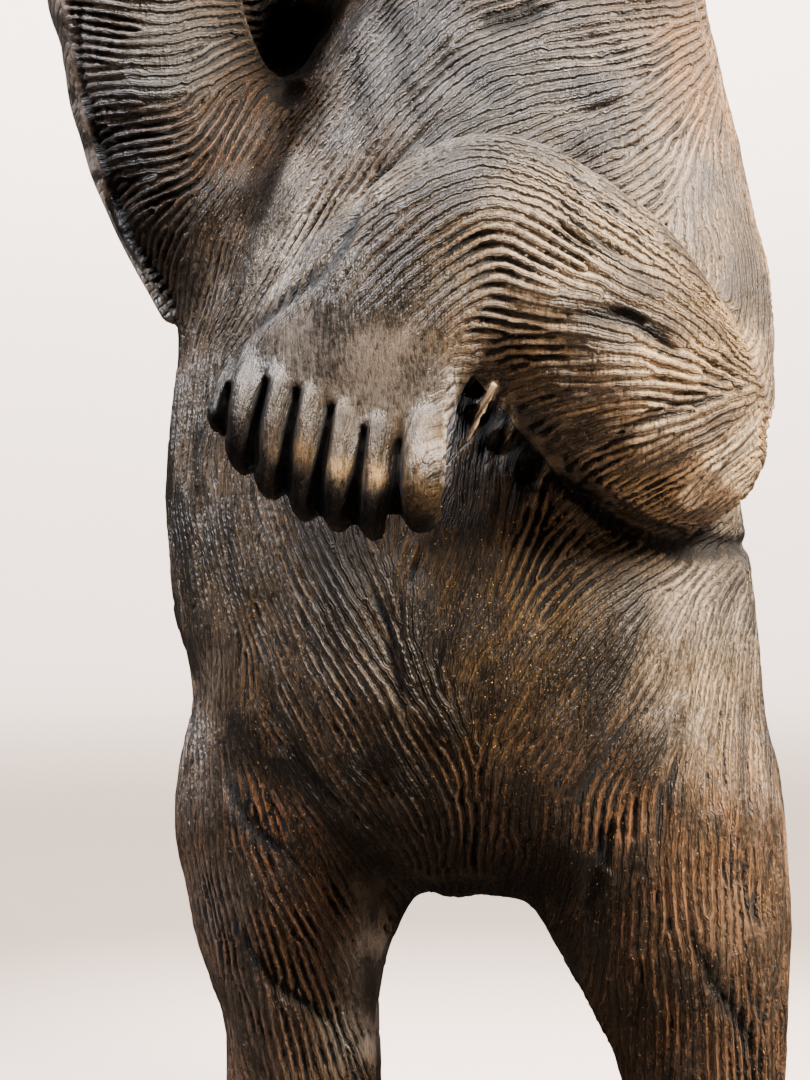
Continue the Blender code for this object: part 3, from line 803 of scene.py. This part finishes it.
def pushed_back(places, normals):
    """How far each point is pushed back, in millimetres, in the hand's slots and in the hollows."""
    seen = pixels(places)
    push = np.zeros(len(places))
    paths = np.concatenate(HAND_SLOTS)
    low, high = paths.min(0) - SLOT_MARGIN, paths.max(0) + SLOT_MARGIN
    front = (facing(places, normals) > -0.2) & (places[:, 1] < HAND_FRONT_Y)
    front = np.flatnonzero(front & ((seen > low) & (seen < high)).all(1))
    for path in HAND_SLOTS:
        for k in range(SLOT_STEPS + 1):
            share = k / SLOT_STEPS
            gap = ((seen[front] - along(path, share)) ** 2).sum(1)
            spread = SLOT_SPREAD[0] + (SLOT_SPREAD[1] - SLOT_SPREAD[0]) * share
            deep = SLOT_DEEP[0] + (SLOT_DEEP[1] - SLOT_DEEP[0]) * share**0.6
            deep *= 1 - 0.35 * share**4
            push[front] = np.maximum(push[front], deep * np.exp(-gap / (2 * spread**2)))
    share = step(places[:, 1], -86, -58) * step(-places[:, 1], -12, 4)
    behind = np.flatnonzero(share > 0)
    found = np.zeros(len(behind))
    for across, down, radius, deep in HOLLOWS:
        found = np.maximum(found, deep * round_patch(seen[behind], across, down, radius))
    gap = path_gap(seen[behind], UNDERCUT)
    found = np.maximum(found, UNDERCUT_DEEP * np.exp(-(gap**2) / (2 * UNDERCUT_SPREAD**2)))
    push[behind] = np.maximum(push[behind], share[behind] * found)
    return push


def ray_tree(mesh):
    """The mesh as a tree that rays can be cast at, in metres."""
    corners = [tuple(vert.co) for vert in mesh.vertices]
    return BVHTree.FromPolygons(corners, [tuple(side.vertices) for side in mesh.polygons])


def carved_bear():
    """The carving as one skin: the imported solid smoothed, its details made again, and the strokes cut in."""
    rough = fused(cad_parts["bear"].data.copy(), ROUGH_VOXEL, ROUGH_ROUNDS)
    whole = bmesh.new()
    whole.from_mesh(rough)
    slivers(whole, ray_tree(rough))
    hand_digits(whole)
    raised_digits(whole)
    arm_rim(whole)
    for ankle_x, turn_out in FEET:
        foot(whole, ankle_x, turn_out)
    face(whole)
    joined = bpy.data.meshes.new("joined")
    whole.to_mesh(joined)
    whole.free()
    skin = fused(joined, SKIN_VOXEL, SKIN_ROUNDS)
    places, normals = arrays(skin)
    tree = ray_tree(skin)
    strokes = Strokes(places, normals, STROKE_SPACING, STROKE_SEED, STROKE_ROUNDS)
    phase, fine, broad, cloud, across = strokes.at(places)
    bare, _, ground = regions(places, normals)
    shown = shown_points(places, normals)
    furry = 1 - bare
    groove = (0.5 + 0.5 * np.cos(phase)) ** 2.6 + 0.42 * leaning(across) * np.sin(phase)
    half = (0.5 - 0.5 * np.cos(phase)) ** 2 * step(-fine, 0.2, 1.2)
    strength = (1.0 + 0.45 * fine + 0.3 * broad).clip(0.35, 2.1)
    depth = furry * STROKE_DEPTH * boldness(places) * (strength * groove + 0.6 * half)
    depth += furry * (0.3 * broad.clip(-2, 2) + 0.12 * fine.clip(-2, 2) + 0.25 * cloud.clip(-2, 2))
    depth[ground > 0.5] = 0
    gashes = cut_lines(tree, CUTS, 1)
    others = cut_lines(tree, nicks(), 1) + cut_lines(tree, RIDGES, -1) + face_cuts()
    depth += cut_depth(places, gashes + others)
    pushed = pushed_back(places, normals)
    places -= normals * (depth * (1 - 0.9 * step(pushed, 2, 5)))[:, None]
    places += FORWARD * pushed[:, None]
    places[:, 2] = np.maximum(places[:, 2], 0)
    skin.vertices.foreach_set("co", (places * MM).ravel())
    skin.update()
    skin = thinned(skin, shown)
    dress(skin, strokes, tree, gashes)
    return skin


def shade(places, normals, tree):
    """How much of the sky over each point is closed in by the carving itself, from 0 to 1, which the material
    paints in as shade.
    """
    chance = np.random.default_rng(SHADE_SEED)
    ways = unit(chance.normal(size=(SHADE_RAYS, 3)))
    painted_shade = np.zeros(len(places))
    reach = SHADE_REACH * MM
    starts = (places + normals * SHADE_START) * MM
    for way in ways:
        spread = unit(normals + SHADE_SPREAD * way)
        for i in range(len(places)):
            hit = tree.ray_cast(Vector(starts[i]), Vector(spread[i]), reach)
            if hit[3] is not None:
                painted_shade[i] += 1 - 0.6 * hit[3] / reach
    return painted_shade / len(ways)


# How the stain and the painted light and shade lie in the photograph: across, down and radius in pixels, then
# the
# shares in hundredths: worn with painted highlights, warm, dark stain with painted shade, and grey with
# painted sheen.
PATCHES = [
    (735, 110, 60, 55, 100, 0, 0), (750, 230, 50, 70, 80, 0, 10), (705, 60, 50, 40, 90, 0, 20),
    (680, 180, 60, 50, 30, 0, 70), (600, 90, 60, 30, 15, 5, 90), (520, 60, 60, 10, 5, 15, 100),
    (440, 60, 60, 0, 0, 20, 100), (375, 65, 40, 0, 0, 20, 100), (520, 12, 24, 10, 40, 40, 50),
    (715, 468, 30, 100, 60, 0, 0), (652, 428, 20, 100, 10, 0, 10), (300, 350, 60, 12, 0, 0, 100),
    (360, 350, 45, 10, 10, 5, 90), (375, 395, 28, 12, 10, 5, 100), (428, 385, 26, 10, 0, 15, 100),
    (415, 455, 16, 20, 30, 20, 70), (441, 455, 12, 50, 0, 0, 100), (245, 374, 20, 0, 0, 35, 100),
    (228, 415, 20, 0, 10, 80, 70), (250, 435, 20, 0, 10, 80, 60), (280, 412, 22, 0, 10, 85, 60),
    (312, 420, 22, 0, 10, 80, 70), (225, 392, 12, 0, 0, 90, 80), (250, 400, 13, 0, 0, 90, 80),
    (280, 392, 16, 0, 10, 95, 50), (312, 400, 16, 0, 20, 95, 40), (345, 418, 16, 0, 30, 95, 30),
    (378, 430, 16, 0, 30, 90, 30), (300, 448, 12, 0, 90, 50, 20), (300, 475, 16, 0, 10, 100, 40),
    (345, 438, 20, 0, 20, 75, 60), (380, 446, 16, 0, 50, 70, 40), (342, 467, 9, 30, 100, 0, 0),
    (377, 476, 10, 50, 100, 0, 0), (340, 500, 16, 0, 0, 90, 40), (376, 510, 16, 0, 0, 90, 40),
    (385, 215, 24, 50, 0, 0, 100), (350, 262, 24, 45, 0, 0, 100), (400, 280, 40, 0, 20, 30, 60),
    (470, 150, 45, 5, 10, 20, 80), (440, 240, 35, 5, 60, 30, 20), (530, 220, 50, 50, 35, 0, 40),
    (600, 290, 60, 100, 15, 0, 10), (660, 240, 50, 60, 50, 0, 30), (630, 370, 46, 100, 45, 0, 10),
    (715, 350, 60, 100, 60, 0, 0), (740, 420, 40, 100, 60, 0, 0), (560, 370, 40, 10, 70, 35, 10),
    (600, 440, 40, 10, 80, 25, 10), (660, 500, 40, 20, 90, 15, 0), (540, 420, 22, 0, 10, 50, 80),
    (575, 470, 22, 0, 20, 50, 70), (700, 535, 26, 10, 30, 60, 40), (700, 610, 45, 70, 30, 0, 60),
    (705, 680, 40, 100, 30, 0, 20), (670, 720, 30, 55, 10, 0, 60), (730, 760, 45, 50, 70, 0, 10),
    (750, 900, 70, 30, 80, 0, 30), (690, 850, 50, 30, 100, 0, 0), (640, 820, 40, 10, 90, 25, 10),
    (620, 900, 50, 0, 70, 50, 10), (660, 1000, 60, 0, 80, 40, 10), (740, 1030, 50, 10, 80, 10, 30),
    (120, 40, 50, 20, 0, 20, 100), (190, 60, 40, 10, 5, 30, 90), (115, 150, 40, 0, 0, 65, 100),
    (170, 190, 34, 0, 30, 60, 60), (215, 120, 34, 0, 70, 60, 30), (222, 190, 34, 0, 100, 55, 0),
    (150, 230, 50, 0, 20, 80, 50), (244, 30, 22, 10, 20, 70, 30), (276, 62, 24, 0, 40, 100, 0),
    (325, 50, 26, 0, 20, 100, 10), (314, 92, 22, 0, 30, 95, 10), (300, 50, 36, 0, 30, 100, 0),
    (282, 115, 26, 0, 50, 90, 0), (268, 150, 24, 0, 70, 75, 0), (256, 185, 24, 0, 90, 60, 0),
    (240, 220, 26, 0, 90, 55, 0), (238, 88, 26, 0, 60, 80, 10), (342, 135, 24, 15, 0, 0, 100),
    (300, 185, 28, 60, 0, 0, 100), (280, 240, 28, 35, 0, 0, 100), (215, 270, 34, 10, 30, 30, 80),
    (185, 400, 40, 5, 20, 30, 90), (195, 520, 45, 10, 30, 35, 70), (260, 580, 50, 5, 50, 30, 50),
    (200, 700, 40, 15, 10, 15, 90), (195, 780, 40, 10, 20, 15, 90), (330, 640, 45, 0, 60, 45, 30),
    (250, 720, 35, 0, 90, 30, 10), (300, 760, 50, 0, 50, 50, 30), (275, 800, 30, 10, 90, 20, 20),
    (290, 860, 45, 0, 80, 35, 10), (300, 960, 50, 0, 50, 70, 20), (220, 900, 35, 5, 10, 20, 100),
    (245, 1000, 40, 5, 20, 20, 100), (365, 960, 28, 30, 0, 0, 100), (358, 1030, 30, 30, 0, 0, 100),
    (480, 420, 26, 0, 10, 100, 20), (530, 500, 35, 0, 60, 70, 10), (610, 555, 35, 0, 50, 70, 20),
    (430, 520, 40, 0, 90, 55, 0), (480, 600, 50, 0, 100, 55, 0), (410, 640, 45, 0, 50, 50, 40),
    (480, 700, 60, 0, 100, 65, 0), (560, 640, 50, 0, 100, 60, 0), (630, 600, 36, 20, 30, 25, 60),
    (600, 740, 50, 0, 60, 30, 40), (400, 760, 50, 0, 30, 90, 20), (500, 800, 60, 0, 50, 80, 10),
    (440, 860, 60, 0, 0, 100, 30), (530, 870, 40, 0, 10, 100, 40), (360, 850, 40, 0, 10, 100, 30),
]
# Lines of stain, of painted highlight and of painted shadow: half width in pixels, the same shares and the
# share kept out of the painted shade, then the pixels.
STAIN_AND_PAINTED_LIGHT_LINES = [
    (3.5, 80, 30, 0, 20, 100, [(493, 386), (464, 446)]),
    (1.5, 30, 30, 20, 40, 100, [(548, 462), (529, 505)]),
    (2.0, 35, 30, 0, 40, 100, [(503, 400), (487, 468)]),
    (2.0, 30, 30, 0, 40, 100, [(515, 410), (501, 466)]),
    (6.0, 100, 25, 0, 0, 100, [(748, 432), (722, 462), (690, 500)]),
    (3.5, 50, 0, 0, 90, 100, [(450, 375), (449, 440), (446, 480)]),
    (9.0, 0, 40, 100, 0, 0, [(300, 95), (284, 128), (267, 168), (251, 212)]),
]
RIM_PATCH = (20, 0, 0, 100, 80)
LINE_WEIGHT = 5
# The shares far from every patch, on the sides that the photograph hides, and how much they weigh.
PLAIN_PATCH = (8, 40, 32, 40, 0)
PLAIN_WEIGHT = 0.12


def patches(places, normals):
    """The shares at each point of wear with painted highlights, warmth, dark stain with painted shade and grey
    with painted sheen, and the share kept out of the painted shade.
    """
    seen = pixels(places)
    shown = step(facing(places, normals), -0.4, 0.0)
    found = [(np.full(len(places), PLAIN_WEIGHT), PLAIN_PATCH)]
    for across, down, radius, *patch in PATCHES:
        found.append((shown * round_patch(seen, across, down, radius), (*patch, 0)))
    for half, *patch, path in STAIN_AND_PAINTED_LIGHT_LINES:
        found.append((LINE_WEIGHT * shown * (1 - step(path_gap(seen, path), half, 2 * half)), patch))
    rim = LINE_WEIGHT * (1 - step(path_gap(seen, ARM_RIM), 6, 10)) * (places[:, 0] < RIM_INSIDE_X)
    found.append((rim, RIM_PATCH))
    weights = np.stack([near for near, _ in found])
    return weights.T @ np.array([patch for _, patch in found]) / 100 / weights.sum(0)[:, None]


def store(mesh, name, values, domain="POINT"):
    """The values as a named attribute of the mesh, which the material reads."""
    mesh.attributes.new(name, "FLOAT", domain).data.foreach_set("value", values.astype(np.float32))


def dress(mesh, strokes, tree, gashes):
    """Stores on the mesh what its material reads: stroke phase, streaks, stain and wear, and where shade,
    light and sheen are painted.
    """
    places, normals = arrays(mesh)
    phase, fine, broad, cloud, across = strokes.at(places)
    corners = np.empty(len(mesh.loops), int)
    mesh.loops.foreach_get("vertex_index", corners)
    # The phase runs on over each triangle instead of jumping back after a full turn.
    first = np.repeat(corners[::3], 3)
    expected = strokes.wave * (across[first] * (places[corners] - places[first])).sum(1)
    turn = phase[corners] - phase[first] - expected
    store(mesh, "stroke", phase[first] + expected + np.angle(np.exp(1j * turn)), "CORNER")
    bare, black, _ = regions(places, normals)
    layers = {
        "fine_streak": fine, "broad_streak": broad, "cloud": cloud, "bare": bare, "black": black,
        "gash": step(cut_depth(places, gashes), 0.5, 1.0), "lean": leaning(across),
        "shade": shade(places, normals, tree),
    }
    layers.update(zip(("wear_and_painted_light", "warm", "stain_and_painted_shade", "grey_and_painted_sheen", "lit"), patches(places, normals).T))
    for name, values in layers.items():
        store(mesh, name, values)
    mesh.polygons.foreach_set("use_smooth", [True] * len(mesh.polygons))


def linear(code):
    """An sRGB hex colour as the linear red, green, blue and alpha that the shader takes."""
    parts = [int(code[i : i + 2], 16) / 255 for i in (1, 3, 5)]
    return (*(v / 12.92 if v <= 0.04045 else ((v + 0.055) / 1.055) ** 2.4 for v in parts), 1)


def node(tree, kind, settings=None, **links):
    """A node of that kind with its settings, its inputs set to values or hex colours or linked to outputs."""
    made = tree.nodes.new(kind)
    for name, value in (settings or {}).items():
        setattr(made, name, value)
    for name, value in links.items():
        key = int(name[1:]) if name[0] == "i" and name[1:].isdigit() else name.replace("_", " ")
        if isinstance(value, bpy.types.NodeSocket):
            tree.links.new(value, made.inputs[key])
        else:
            made.inputs[key].default_value = linear(value) if isinstance(value, str) else value
    return made


def ramp(tree, value, low, high, least=0.0, most=1.0):
    """The value turned into least at low and most at high, eased between them."""
    spans = {"From_Min": low, "From_Max": high, "To_Min": least, "To_Max": most}
    made = node(tree, "ShaderNodeMapRange", {"interpolation_type": "SMOOTHSTEP"}, Value=value, **spans)
    return made.outputs[0]


def mix(tree, share, a, b):
    """The colour from a to b by the share."""
    return node(tree, "ShaderNodeMix", {"data_type": "RGBA"}, i0=share, i6=a, i7=b).outputs[2]


def new_material(name):
    """A new material, its node tree and its shader."""
    made = bpy.data.materials.new(name)
    made.use_nodes = True
    return made, made.node_tree, made.node_tree.nodes["Principled BSDF"]


# The strands of the arm's rim slant across it, 2.1 mm apart: their turn in radians per metre along each axis.
STRAND_TURN = (-2300, 0, 1900)
# The height of the finest relief, which the shader alone makes.
BUMP_DEPTH = 0.5


def walnut_stain():
    """Close-grained hardwood cut with a gouge, stained walnut, brushed back on its ridges and waxed satin.

    The cuts hold the dark stain, the ridges show brown wood with a wax sheen, and upright grain crosses both.
    Shade, highlights, glints and a silver sheen are also painted into the colour.
    """
    material, tree, shader = new_material("walnut_stained_wood")
    eased, colour = partial(ramp, tree), partial(mix, tree)
    where = node(tree, "ShaderNodeTexCoord").outputs["Object"]

    def value(name):
        return node(tree, "ShaderNodeAttribute", {"attribute_name": name}).outputs["Fac"]

    def maths(operation, a, b=0.0, c=0.0):
        return node(tree, "ShaderNodeMath", {"operation": operation}, i0=a, i1=b, i2=c).outputs[0]

    def times(a, b):
        return maths("MULTIPLY", a, b)

    def plus(a, b):
        return maths("ADD", a, b)

    def rest(a):
        return maths("SUBTRACT", 1.0, a)

    def about(noise, size):
        """The noise about zero instead of about a half, at that size."""
        return times(maths("SUBTRACT", noise, 0.5), size)

    def grain(scale, detail, rough=0.55, stretch=(1, 1, 1)):
        scaled = node(tree, "ShaderNodeMapping", i0=where, Scale=stretch).outputs[0]
        made = node(tree, "ShaderNodeTexNoise", Vector=scaled, Scale=scale, Detail=detail, Roughness=rough)
        return made.outputs[0]

    def wave(turn, power):
        """1 on the crests of the turn's cosine, narrower with a higher power."""
        return maths("POWER", maths("MULTIPLY_ADD", maths("COSINE", turn), 0.5, 0.5), power)

    def lines(count, power, shift=0.0):
        return wave(maths("MULTIPLY_ADD", phase, count, shift), power)

    fine, broad, cloud = value("fine_streak"), value("broad_streak"), value("cloud")
    grey_and_painted_sheen, warmth, stain_and_painted_shade, lit = value("grey_and_painted_sheen"), value("warm"), value("stain_and_painted_shade"), value("lit")
    furry = rest(value("bare"))

    # A gouge stroke is 2.3 mm wide. The blade's hairlines, 1.15 and 0.77 mm apart, run along it and waver.
    phase = plus(value("stroke"), plus(about(grain(110, 1), 3.0), about(grain(700, 1), 2.2)))
    # The upright grain of the block, 0.6 mm fine and 4.5 mm long, the blade's chatter at 1.1 mm, and specks.
    upright = grain(1700, 3, 0.65, (1, 1, 0.13))
    chatter = grain(900, 2, 0.6)
    speck = grain(2600, 2, 0.7)
    strength = eased(plus(broad, about(chatter, 5.0)), -1.8, 0.9, 0.5, 1.0)
    main = times(lines(1.0, 4.2), strength)
    second = times(lines(2.0, 3.0, 3.14), eased(fine, -1.1, 1.2, 0.1, 0.85))
    third = times(lines(3.0, 2.0, 1.2), 0.4)
    cut = times(maths("MAXIMUM", maths("MAXIMUM", main, second), third), furry)
    slant = node(tree, "ShaderNodeVectorMath", {"operation": "DOT_PRODUCT"}, i0=where, i1=STRAND_TURN)
    strand = wave(slant.outputs["Value"], 4.0)
    cut = maths("MAXIMUM", cut, times(strand, eased(lit, 0.7, 0.78)))

    # Light and dark streaks along the strokes, crossed by the upright grain.
    tone = maths("MULTIPLY_ADD", fine, 0.7, times(broad, 0.6))
    tone = plus(plus(tone, about(chatter, 3.5)), about(upright, -5.0))

    # The ridges: brown wood, a painted silver sheen where grey, gold where warm, which is rust above and below
    # the belly.
    ridge = colour(eased(tone, -1.6, 2.2), "#140e08", "#413422")
    height = node(tree, "ShaderNodeSeparateXYZ", i0=where).outputs["Z"]
    rust = eased(maths("ABSOLUTE", maths("SUBTRACT", height, 0.2)), 0.045, 0.08)
    gold = colour(eased(tone, -1.4, 2.2), "#1b1204", colour(rust, "#664a1a", "#6e4016"))
    painted_sheen_silver = colour(eased(tone, -1.8, 1.8), "#0f0e0e", "#3c3937")
    ridge = colour(times(grey_and_painted_sheen, 0.9), ridge, painted_sheen_silver)
    ridge = colour(times(warmth, eased(cloud, -1.2, 1.2, 0.7, 1.0)), ridge, gold)
    # Where it is worn, and where a painted highlight or pool of light lies, the wood shows pale, or amber
    # where it is warm; over grey the pale is a cool painted sheen.
    pale = colour(eased(tone, -1.9, 1.7), "#4c402c", colour(grey_and_painted_sheen, "#cdba94", "#c0b9ae"))
    amber = colour(eased(tone, -1.9, 1.7), "#48300f", colour(rust, "#c69a62", "#c89258"))
    wear_and_painted_light = times(value("wear_and_painted_light"), eased(broad, -1.8, 1.2, 0.6, 1.0))
    ridge = colour(wear_and_painted_light, ridge, colour(warmth, pale, amber))
    # The dark stain in the cuts and the pores, dark stain mixed with painted shade from the patches, dark
    # stain in the gashes, painted shade in closed-in places, and black on the claws.
    dark = colour(wear_and_painted_light, "#0c0703", "#36281a")
    body = colour(times(cut, 0.9), ridge, dark)
    body = colour(times(eased(upright, 0.5, 0.72), 0.55), body, dark)
    # Dark stain and painted shade where the patches lay it: the hollows, under the forearm, the crotch and the
    # digits.
    body = colour(times(stain_and_painted_shade, 0.8), body, "#0c0703")
    body = colour(times(value("gash"), 0.9), body, "#070402")
    # Painted shade: darker where the carving closes in over a point, less where worn or lit, and none on the
    # lines kept out of it.
    painted_shade = eased(value("shade"), 0.18, 0.7, 0.0, 0.92)
    painted_shade = times(times(painted_shade, maths("MULTIPLY_ADD", wear_and_painted_light, -0.4, 1.0)), rest(lit))
    body = colour(painted_shade, body, "#050302")
    body = colour(times(value("black"), 0.96), body, "#070504")
    # Painted glints: tiny gold highlights on the warm fur.
    painted_glint = times(eased(grain(2900, 0), 0.79, 0.83), times(warmth, furry))
    body = colour(painted_glint, body, "#b58c4c")
    tree.links.new(body, shader.inputs["Base Color"])

    # The wax: a satin sheen, duller in the cuts, in brown wood, in the painted shade of closed-in places, and
    # under the dark stain and painted shade of the patches.
    rough = eased(plus(chatter, times(cut, 0.35)), 0.3, 0.95, 0.31, 0.56)
    rough = maths("MULTIPLY_ADD", rest(grey_and_painted_sheen), 0.12, rough)
    rough = maths("MAXIMUM", rough, times(painted_shade, 0.85))
    tree.links.new(rough, shader.inputs["Roughness"])
    sheen = maths("MULTIPLY_ADD", grey_and_painted_sheen, 0.2, maths("MULTIPLY_ADD", stain_and_painted_shade, -0.4, 0.45))
    tree.links.new(sheen, shader.inputs["Specular IOR Level"])
    shader.inputs["Metallic"].default_value = 0
    shader.inputs["IOR"].default_value = 1.55

    # The finest relief: leaning facets, hairlines, grain and specks.
    facet = times(maths("SINE", phase), times(value("lean"), furry))
    relief = maths("MULTIPLY_ADD", facet, -0.45, times(cut, -1.0))
    for noise, size in ((chatter, 0.35), (upright, -1.0), (speck, 0.12)):
        relief = plus(relief, times(noise, size))
    bump = node(tree, "ShaderNodeBump", Strength=1.0, Distance=BUMP_DEPTH * MM, Height=relief)
    tree.links.new(bump.outputs[0], shader.inputs["Normal"])
    return material


def pale_paper():
    """Matt warm white paper with painted light and shade: bright high up and near the figure, greyer on the
    floor behind it as a painted shadow.
    """
    material, tree, shader = new_material("matt_paper_backdrop")
    where = node(tree, "ShaderNodeTexCoord").outputs["Object"]
    height = node(tree, "ShaderNodeSeparateXYZ", i0=where).outputs["Z"]
    flat = node(tree, "ShaderNodeVectorMath", {"operation": "MULTIPLY"}, i0=where, i1=(1, 1, 0)).outputs[0]
    away = node(tree, "ShaderNodeVectorMath", {"operation": "LENGTH"}, i0=flat).outputs["Value"]
    # Painted light and shade on the paper: a pool of light near the figure, a painted shadow behind it,
    # lighter again far off, and brighter up the wall.
    floor = mix(tree, ramp(tree, away, 0.17, 0.45), "#d2c5bc", "#857a71")
    floor = mix(tree, ramp(tree, away, 0.7, 1.9), floor, "#c9c0ba")
    wall = mix(tree, ramp(tree, height, 0.05, 0.8), floor, "#f8f1ee")
    tree.links.new(wall, shader.inputs["Base Color"])
    shader.inputs["Roughness"].default_value = 0.9
    return material


def backdrop():
    """A flat round floor that curves up into a wall all the way round, wider than any view of the part."""
    radius, curve, height, sides = 1.5, 0.5, 2.6, 96
    profile = [(0.0, 0.0), (radius / 3, 0.0), (radius, 0.0)]
    angles = np.linspace(0.1, math.pi / 2, 12)
    profile += [(radius + curve * math.sin(a), curve * (1 - math.cos(a))) for a in angles]
    profile.append((radius + curve, height))
    bm = bmesh.new()
    centre = bm.verts.new((0, 0, 0))
    rings = []
    for away, up in profile[1:]:
        ring = [2 * math.pi * i / sides for i in range(sides)]
        rings.append([bm.verts.new((away * math.cos(a), away * math.sin(a), up)) for a in ring])
    for i in range(sides):
        j = (i + 1) % sides
        bm.faces.new((centre, rings[0][i], rings[0][j]))
        for low, high in zip(rings, rings[1:]):
            bm.faces.new((low[i], high[i], high[j], low[j]))
    mesh = bpy.data.meshes.new("floor")
    bm.to_mesh(mesh)
    bm.free()
    mesh.polygons.foreach_set("use_smooth", [True] * len(mesh.polygons))
    floor = bpy.data.objects.new("floor", mesh)
    floor.data.materials.append(pale_paper())
    floor.visible_glossy = False
    bpy.context.scene.collection.objects.link(floor)


def softbox(name, place, aim, size, power, tint):
    """A square light that shines from place towards aim, in metres."""
    light = bpy.data.lights.new(name, "AREA")
    light.shape = "RECTANGLE"
    light.size, light.size_y = size
    light.energy = power
    light.color = linear(tint)[:3]
    obj = bpy.data.objects.new(name, light)
    obj.location = place
    obj.rotation_euler = (Vector(aim) - Vector(place)).to_track_quat("-Z", "Y").to_euler()
    obj.visible_camera = False
    bpy.context.scene.collection.objects.link(obj)


def studio():
    """Softboxes high on the right and on the left, with a dim surround, so that the wax shows its sheen."""
    softbox("right_softbox", (0.62, -0.42, 0.78), (0, 0, 0.27), (0.25, 0.3), 54, "#fff1e0")
    softbox("front_softbox", (0.1, -0.6, 1.15), (0, 0, 0.32), (0.3, 0.3), 16, "#fffaf2")
    softbox("left_softbox", (-0.45, -0.4, 0.95), (0, 0, 0.28), (0.14, 0.14), 23, "#f4f5ff")
    softbox("paper_light", (0.0, 0.55, 2.1), (-0.2, 1.9, 0.6), (1.8, 0.8), 205, "#fff5ef")
    world = bpy.data.worlds.new("surround")
    world.use_nodes = True
    dim = world.node_tree.nodes["Background"].inputs
    dim["Color"].default_value = linear("#d8d2cc")
    dim["Strength"].default_value = 0.07
    bpy.context.scene.world = world


def camera():
    """The camera at the photograph's place."""
    lens = bpy.data.cameras.new("camera")
    lens.lens = LENS
    lens.sensor_width = SENSOR
    lens.clip_start = 0.01
    obj = bpy.data.objects.new("camera", lens)
    obj.location = Vector(CAMERA_PLACE * MM)
    obj.rotation_euler = Vector(FORWARD).to_track_quat("-Z", "Y").to_euler()
    bpy.context.scene.collection.objects.link(obj)
    bpy.context.scene.camera = obj


def main():
    """Builds the bear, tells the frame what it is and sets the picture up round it."""
    mesh = carved_bear()
    mesh.name = "carved_bear"
    mesh.materials.clear()
    mesh.materials.append(walnut_stain())
    bear = bpy.data.objects.new("carved_bear", mesh)
    bpy.context.scene.collection.objects.link(bear)
    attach(bear, "root")
    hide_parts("bear")
    backdrop()
    studio()
    camera()
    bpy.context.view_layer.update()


main()
